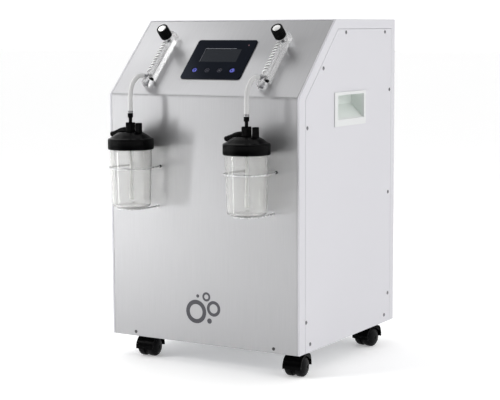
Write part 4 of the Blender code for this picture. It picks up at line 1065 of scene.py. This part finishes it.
def make_wires(label, x):
    """The ring and the lower rest that hold a bottle, and the grommets where they enter the front."""
    tail, neck = FRONT_Y + 0.006, FRONT_Y - 0.012
    reach = math.degrees(math.acos(RING_ARM / RING_RADIUS))
    circle = arc((x, BOTTLE_Y), RING_RADIUS, reach - 10, -180 - reach + 10, 72)
    start = softened([(x + RING_ARM, tail), (x + RING_ARM, neck), circle[0]], 0.006, 6)[:-1]
    end = softened([circle[-1], (x - RING_ARM, neck), (x - RING_ARM, tail)], 0.006, 6)[1:]
    half = REST_HALF_WIDTH
    rest = [(x + half, tail)] + arc((x, BOTTLE_Y), half, 0, -180, 48) + [(x - half, tail)]
    for name, path, height in (("ring", start + circle + end, RING_Z), ("rest", rest, REST_Z)):
        wire = tube([(px, py, height) for px, py in path], WIRE_RADIUS, 16)
        node = f"{label}_humidifier_{name}"
        piece(f"{label}_{name}_wire", wire, "chrome", "cabinet", None, [node])
    profile = [(0.0014, -0.001), (0.0027, -0.001), (0.0027, 0.0008), (0.0021, 0.0015), (0.0014, 0.0015)]
    for name, reach, height, look in (("ring", RING_ARM, RING_Z, "knob"), ("rest", half, REST_Z, "milky")):
        grommets = []
        for side in (-1, 1):
            place = moved(x + side * reach, FRONT_Y, height) @ FORWARDS
            grommets.append((soft_turned(profile, 0.0005, 32, True), place))
        piece(f"{label}_{name}_grommets", joined(grommets), look, "cabinet")


def make_hose(label, x):
    """A short silicone hose from the flowmeter's outlet, over and down to the bottle's inlet."""
    route = [Vector((x, FRONT_Y - forward, height)) for forward, height in HOSE_ROUTE]
    data = bpy.data.curves.new(f"{label}_hose", "CURVE")
    data.dimensions = "3D"
    data.bevel_depth = HOSE_RADIUS
    data.bevel_resolution = 8
    data.use_fill_caps = True
    spline = data.splines.new("POLY")
    points = smooth_path(route, 4)
    spline.points.add(len(points) - 1)
    for point, target in zip(spline.points, points):
        point.co = (*target, 1.0)
    spline.use_smooth = True
    data.materials.append(MATERIALS["hose"])
    hose = linked(f"{label}_hose", data)
    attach(hose, f"{label}_bottle")
    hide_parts(f"{label}_humidifier_hose")


def smooth_path(points, steps):
    """A Catmull-Rom curve through the points."""
    ends = [points[0] * 2 - points[1]] + list(points) + [points[-1] * 2 - points[-2]]
    path = []
    for a, b, c, d in zip(ends, ends[1:], ends[2:], ends[3:]):
        for i in range(steps):
            t = i / steps
            bend, twist = a * 2 - b * 5 + c * 4 - d, b * 3 - a - c * 3 + d
            path.append((b * 2 + (c - a) * t + bend * t**2 + twist * t**3) / 2)
    return path + [points[-1]]


# ---- casters
def hood_outline(axle):
    """The hood's side view: round over the wheels, down behind them to its lip, and back over the wheels."""
    outline = arc(axle, 0.0202, 188, 90, 24)
    for i in range(13):
        lean = math.radians(7.5 * i)
        outline.append((HOOD_REAR * math.sin(lean), HOOD_LIP_Z + (HOOD_TOP_Z - HOOD_LIP_Z) * math.cos(lean)))
    outline += [(HOOD_REAR - 0.0022, HOOD_LIP_Z), (HOOD_REAR - 0.0022, 0.0268)]
    return outline + arc(axle, 0.0176, 40, 188, 32)


def web_outline(axle):
    """The upright web between the wheels, from the axle up to the swivel."""
    outline = arc(axle, 0.015, 250, 100, 16) + [(axle[0], 0.036), (HOOD_REAR * 0.2, 0.036)]
    return outline + [(HOOD_REAR * 0.7, 0.028), (HOOD_REAR * 0.6, 0.02), (-0.004, 0.012)]


def make_caster(name, joints):
    swivel, wheel = joints[f"{name}_caster"]["pos_m"], joints[f"{name}_left_wheel"]
    turn = math.atan2(wheel["axis"][1], wheel["axis"][0])
    place = moved(swivel[0], swivel[1]) @ Matrix.Rotation(turn, 4, "Z")
    axle = (-(Vector(wheel["pos_m"][:2]) - Vector(swivel[:2])).length, WHEEL_RADIUS)
    web = prism(web_outline(axle), -0.0023, 0.0023, UPRIGHT)
    turntable = rod((0, 0, 0.035), (0, 0, 0.0377), 0.006, 48)
    hood = prism(hood_outline(axle), -HOOD_HALF_WIDTH, HOOD_HALF_WIDTH, UPRIGHT)
    hood = combined(hood, [web, turntable], "UNION")
    body, node = f"{name}_caster", f"{name}_caster_hood"
    piece(f"{name}_hood", hood, "black", body, place, [node], 0.001, 3)
    axle_pin = rod((-0.0186, *axle), (0.0186, *axle), 0.0025, 32)
    stem = rod((0, 0, 0.0365), (0, 0, 0.0455), 0.004, 32)
    piece(f"{name}_pins", joined([axle_pin, stem]), "knob", body, place)
    for side_name, side in (("left", -1), ("right", 1)):
        sideways = Matrix.Rotation(math.radians(90 * side), 4, "Y")
        node = f"{name}_{side_name}_wheel"
        centre = place @ moved(0, *axle) @ sideways
        piece(f"{node}_tyre", turned(TYRE, 72, True), "rubber", node, centre, [node])


# ---- light and floor
def area_light(name, place, target, size, power, glossy=True):
    data = bpy.data.lights.new(name, "AREA")
    data.shape = "RECTANGLE"
    data.size, data.size_y = size
    data.energy = power
    light = linked(name, data)
    direction = Vector(target) - Vector(place)
    light.matrix_world = moved(*place) @ direction.to_track_quat("-Z", "Y").to_matrix().to_4x4()
    light.visible_glossy = glossy


def make_light():
    """A white tent, dim on the side that the cabinet's front faces, with its lamps at the front left."""
    bpy.context.scene.view_settings.view_transform = "Standard"
    world = bpy.data.worlds.new("studio")
    world.use_nodes = True
    bpy.context.scene.world = world
    tree = world.node_tree
    background = fill(tree.nodes["Background"], {"Color": (1.0, 1.0, 1.0, 1.0)})
    direction = tree.nodes.new("ShaderNodeTexCoord").outputs["Generated"]
    split = tree.nodes.new("ShaderNodeSeparateXYZ")
    tree.links.new(direction, split.inputs["Vector"])
    strength = tree.nodes.new("ShaderNodeMapRange")
    fill(strength, {"From Min": -0.45, "From Max": 0.1, "To Min": TENT_FRONT, "To Max": TENT_REAR})
    tree.links.new(split.outputs["Y"], strength.inputs["Value"])
    tree.links.new(strength.outputs["Result"], background.inputs["Strength"])
    middle = (0, -0.1, 0.3)
    area_light("key", (-1.5, -1.7, 1.7), middle, (0.8, 0.8), KEY_POWER, False)
    area_light("left_strip", (-1.05, -1.1, 0.36), (-0.1, -0.14, 0.34), (0.12, 1.3), STRIP_POWER)
    area_light("right_strip", (1.28, -0.75, 0.45), (0.1, -0.14, 0.4), (0.06, 1.2), STRIP_POWER * 0.12)
    area_light("top_left", (-1.22, -0.35, 1.75), (-0.45, -0.1, 0.5), (0.9, 0.7), TOP_POWER)
    area_light("bend_soft", (-1.25, -1.75, 1.45), (0, -0.14, 0.46), (0.5, 0.5), BEND_POWER)
    area_light("right_fill", (2.6, -0.3, 1.4), middle, (1.6, 1.6), FILL_POWER, False)


def make_floor():
    floor = bmesh.new()
    bmesh.ops.create_grid(floor, x_segments=1, y_segments=1, size=FLOOR_SIZE)
    mesh = mesh_of(floor, "floor")
    nodes = Nodes("floor").set(IOR=1.3, Roughness=0.7)
    nodes.set(Emission_Color=(1, 1, 1, 1), Emission_Strength=FLOOR_GLOW)
    nodes.colour(nodes.noise(3, detail=2.0), (0.93, 0.93, 0.93), (0.95, 0.95, 0.95))
    mesh.materials.append(nodes.material)
    linked("floor", mesh)


make_camera()
make_materials()
for side_label, side_x in (("left", -STATION_X), ("right", STATION_X)):
    make_hose(side_label, side_x)
    make_meter_block(side_label, side_x)
    make_meter_knob(side_label, side_x)
    make_meter_fittings(side_label, side_x)
    make_bottle(side_label, side_x)
make_cabinet()
make_screws()
make_rear_fittings()
make_emblem()
make_control_panel()
joints_by_body = {joint["child"]: joint for joint in frame["joints"]}
for caster in ("front_left", "front_right", "rear_left", "rear_right"):
    make_caster(caster, joints_by_body)
make_light()
make_floor()
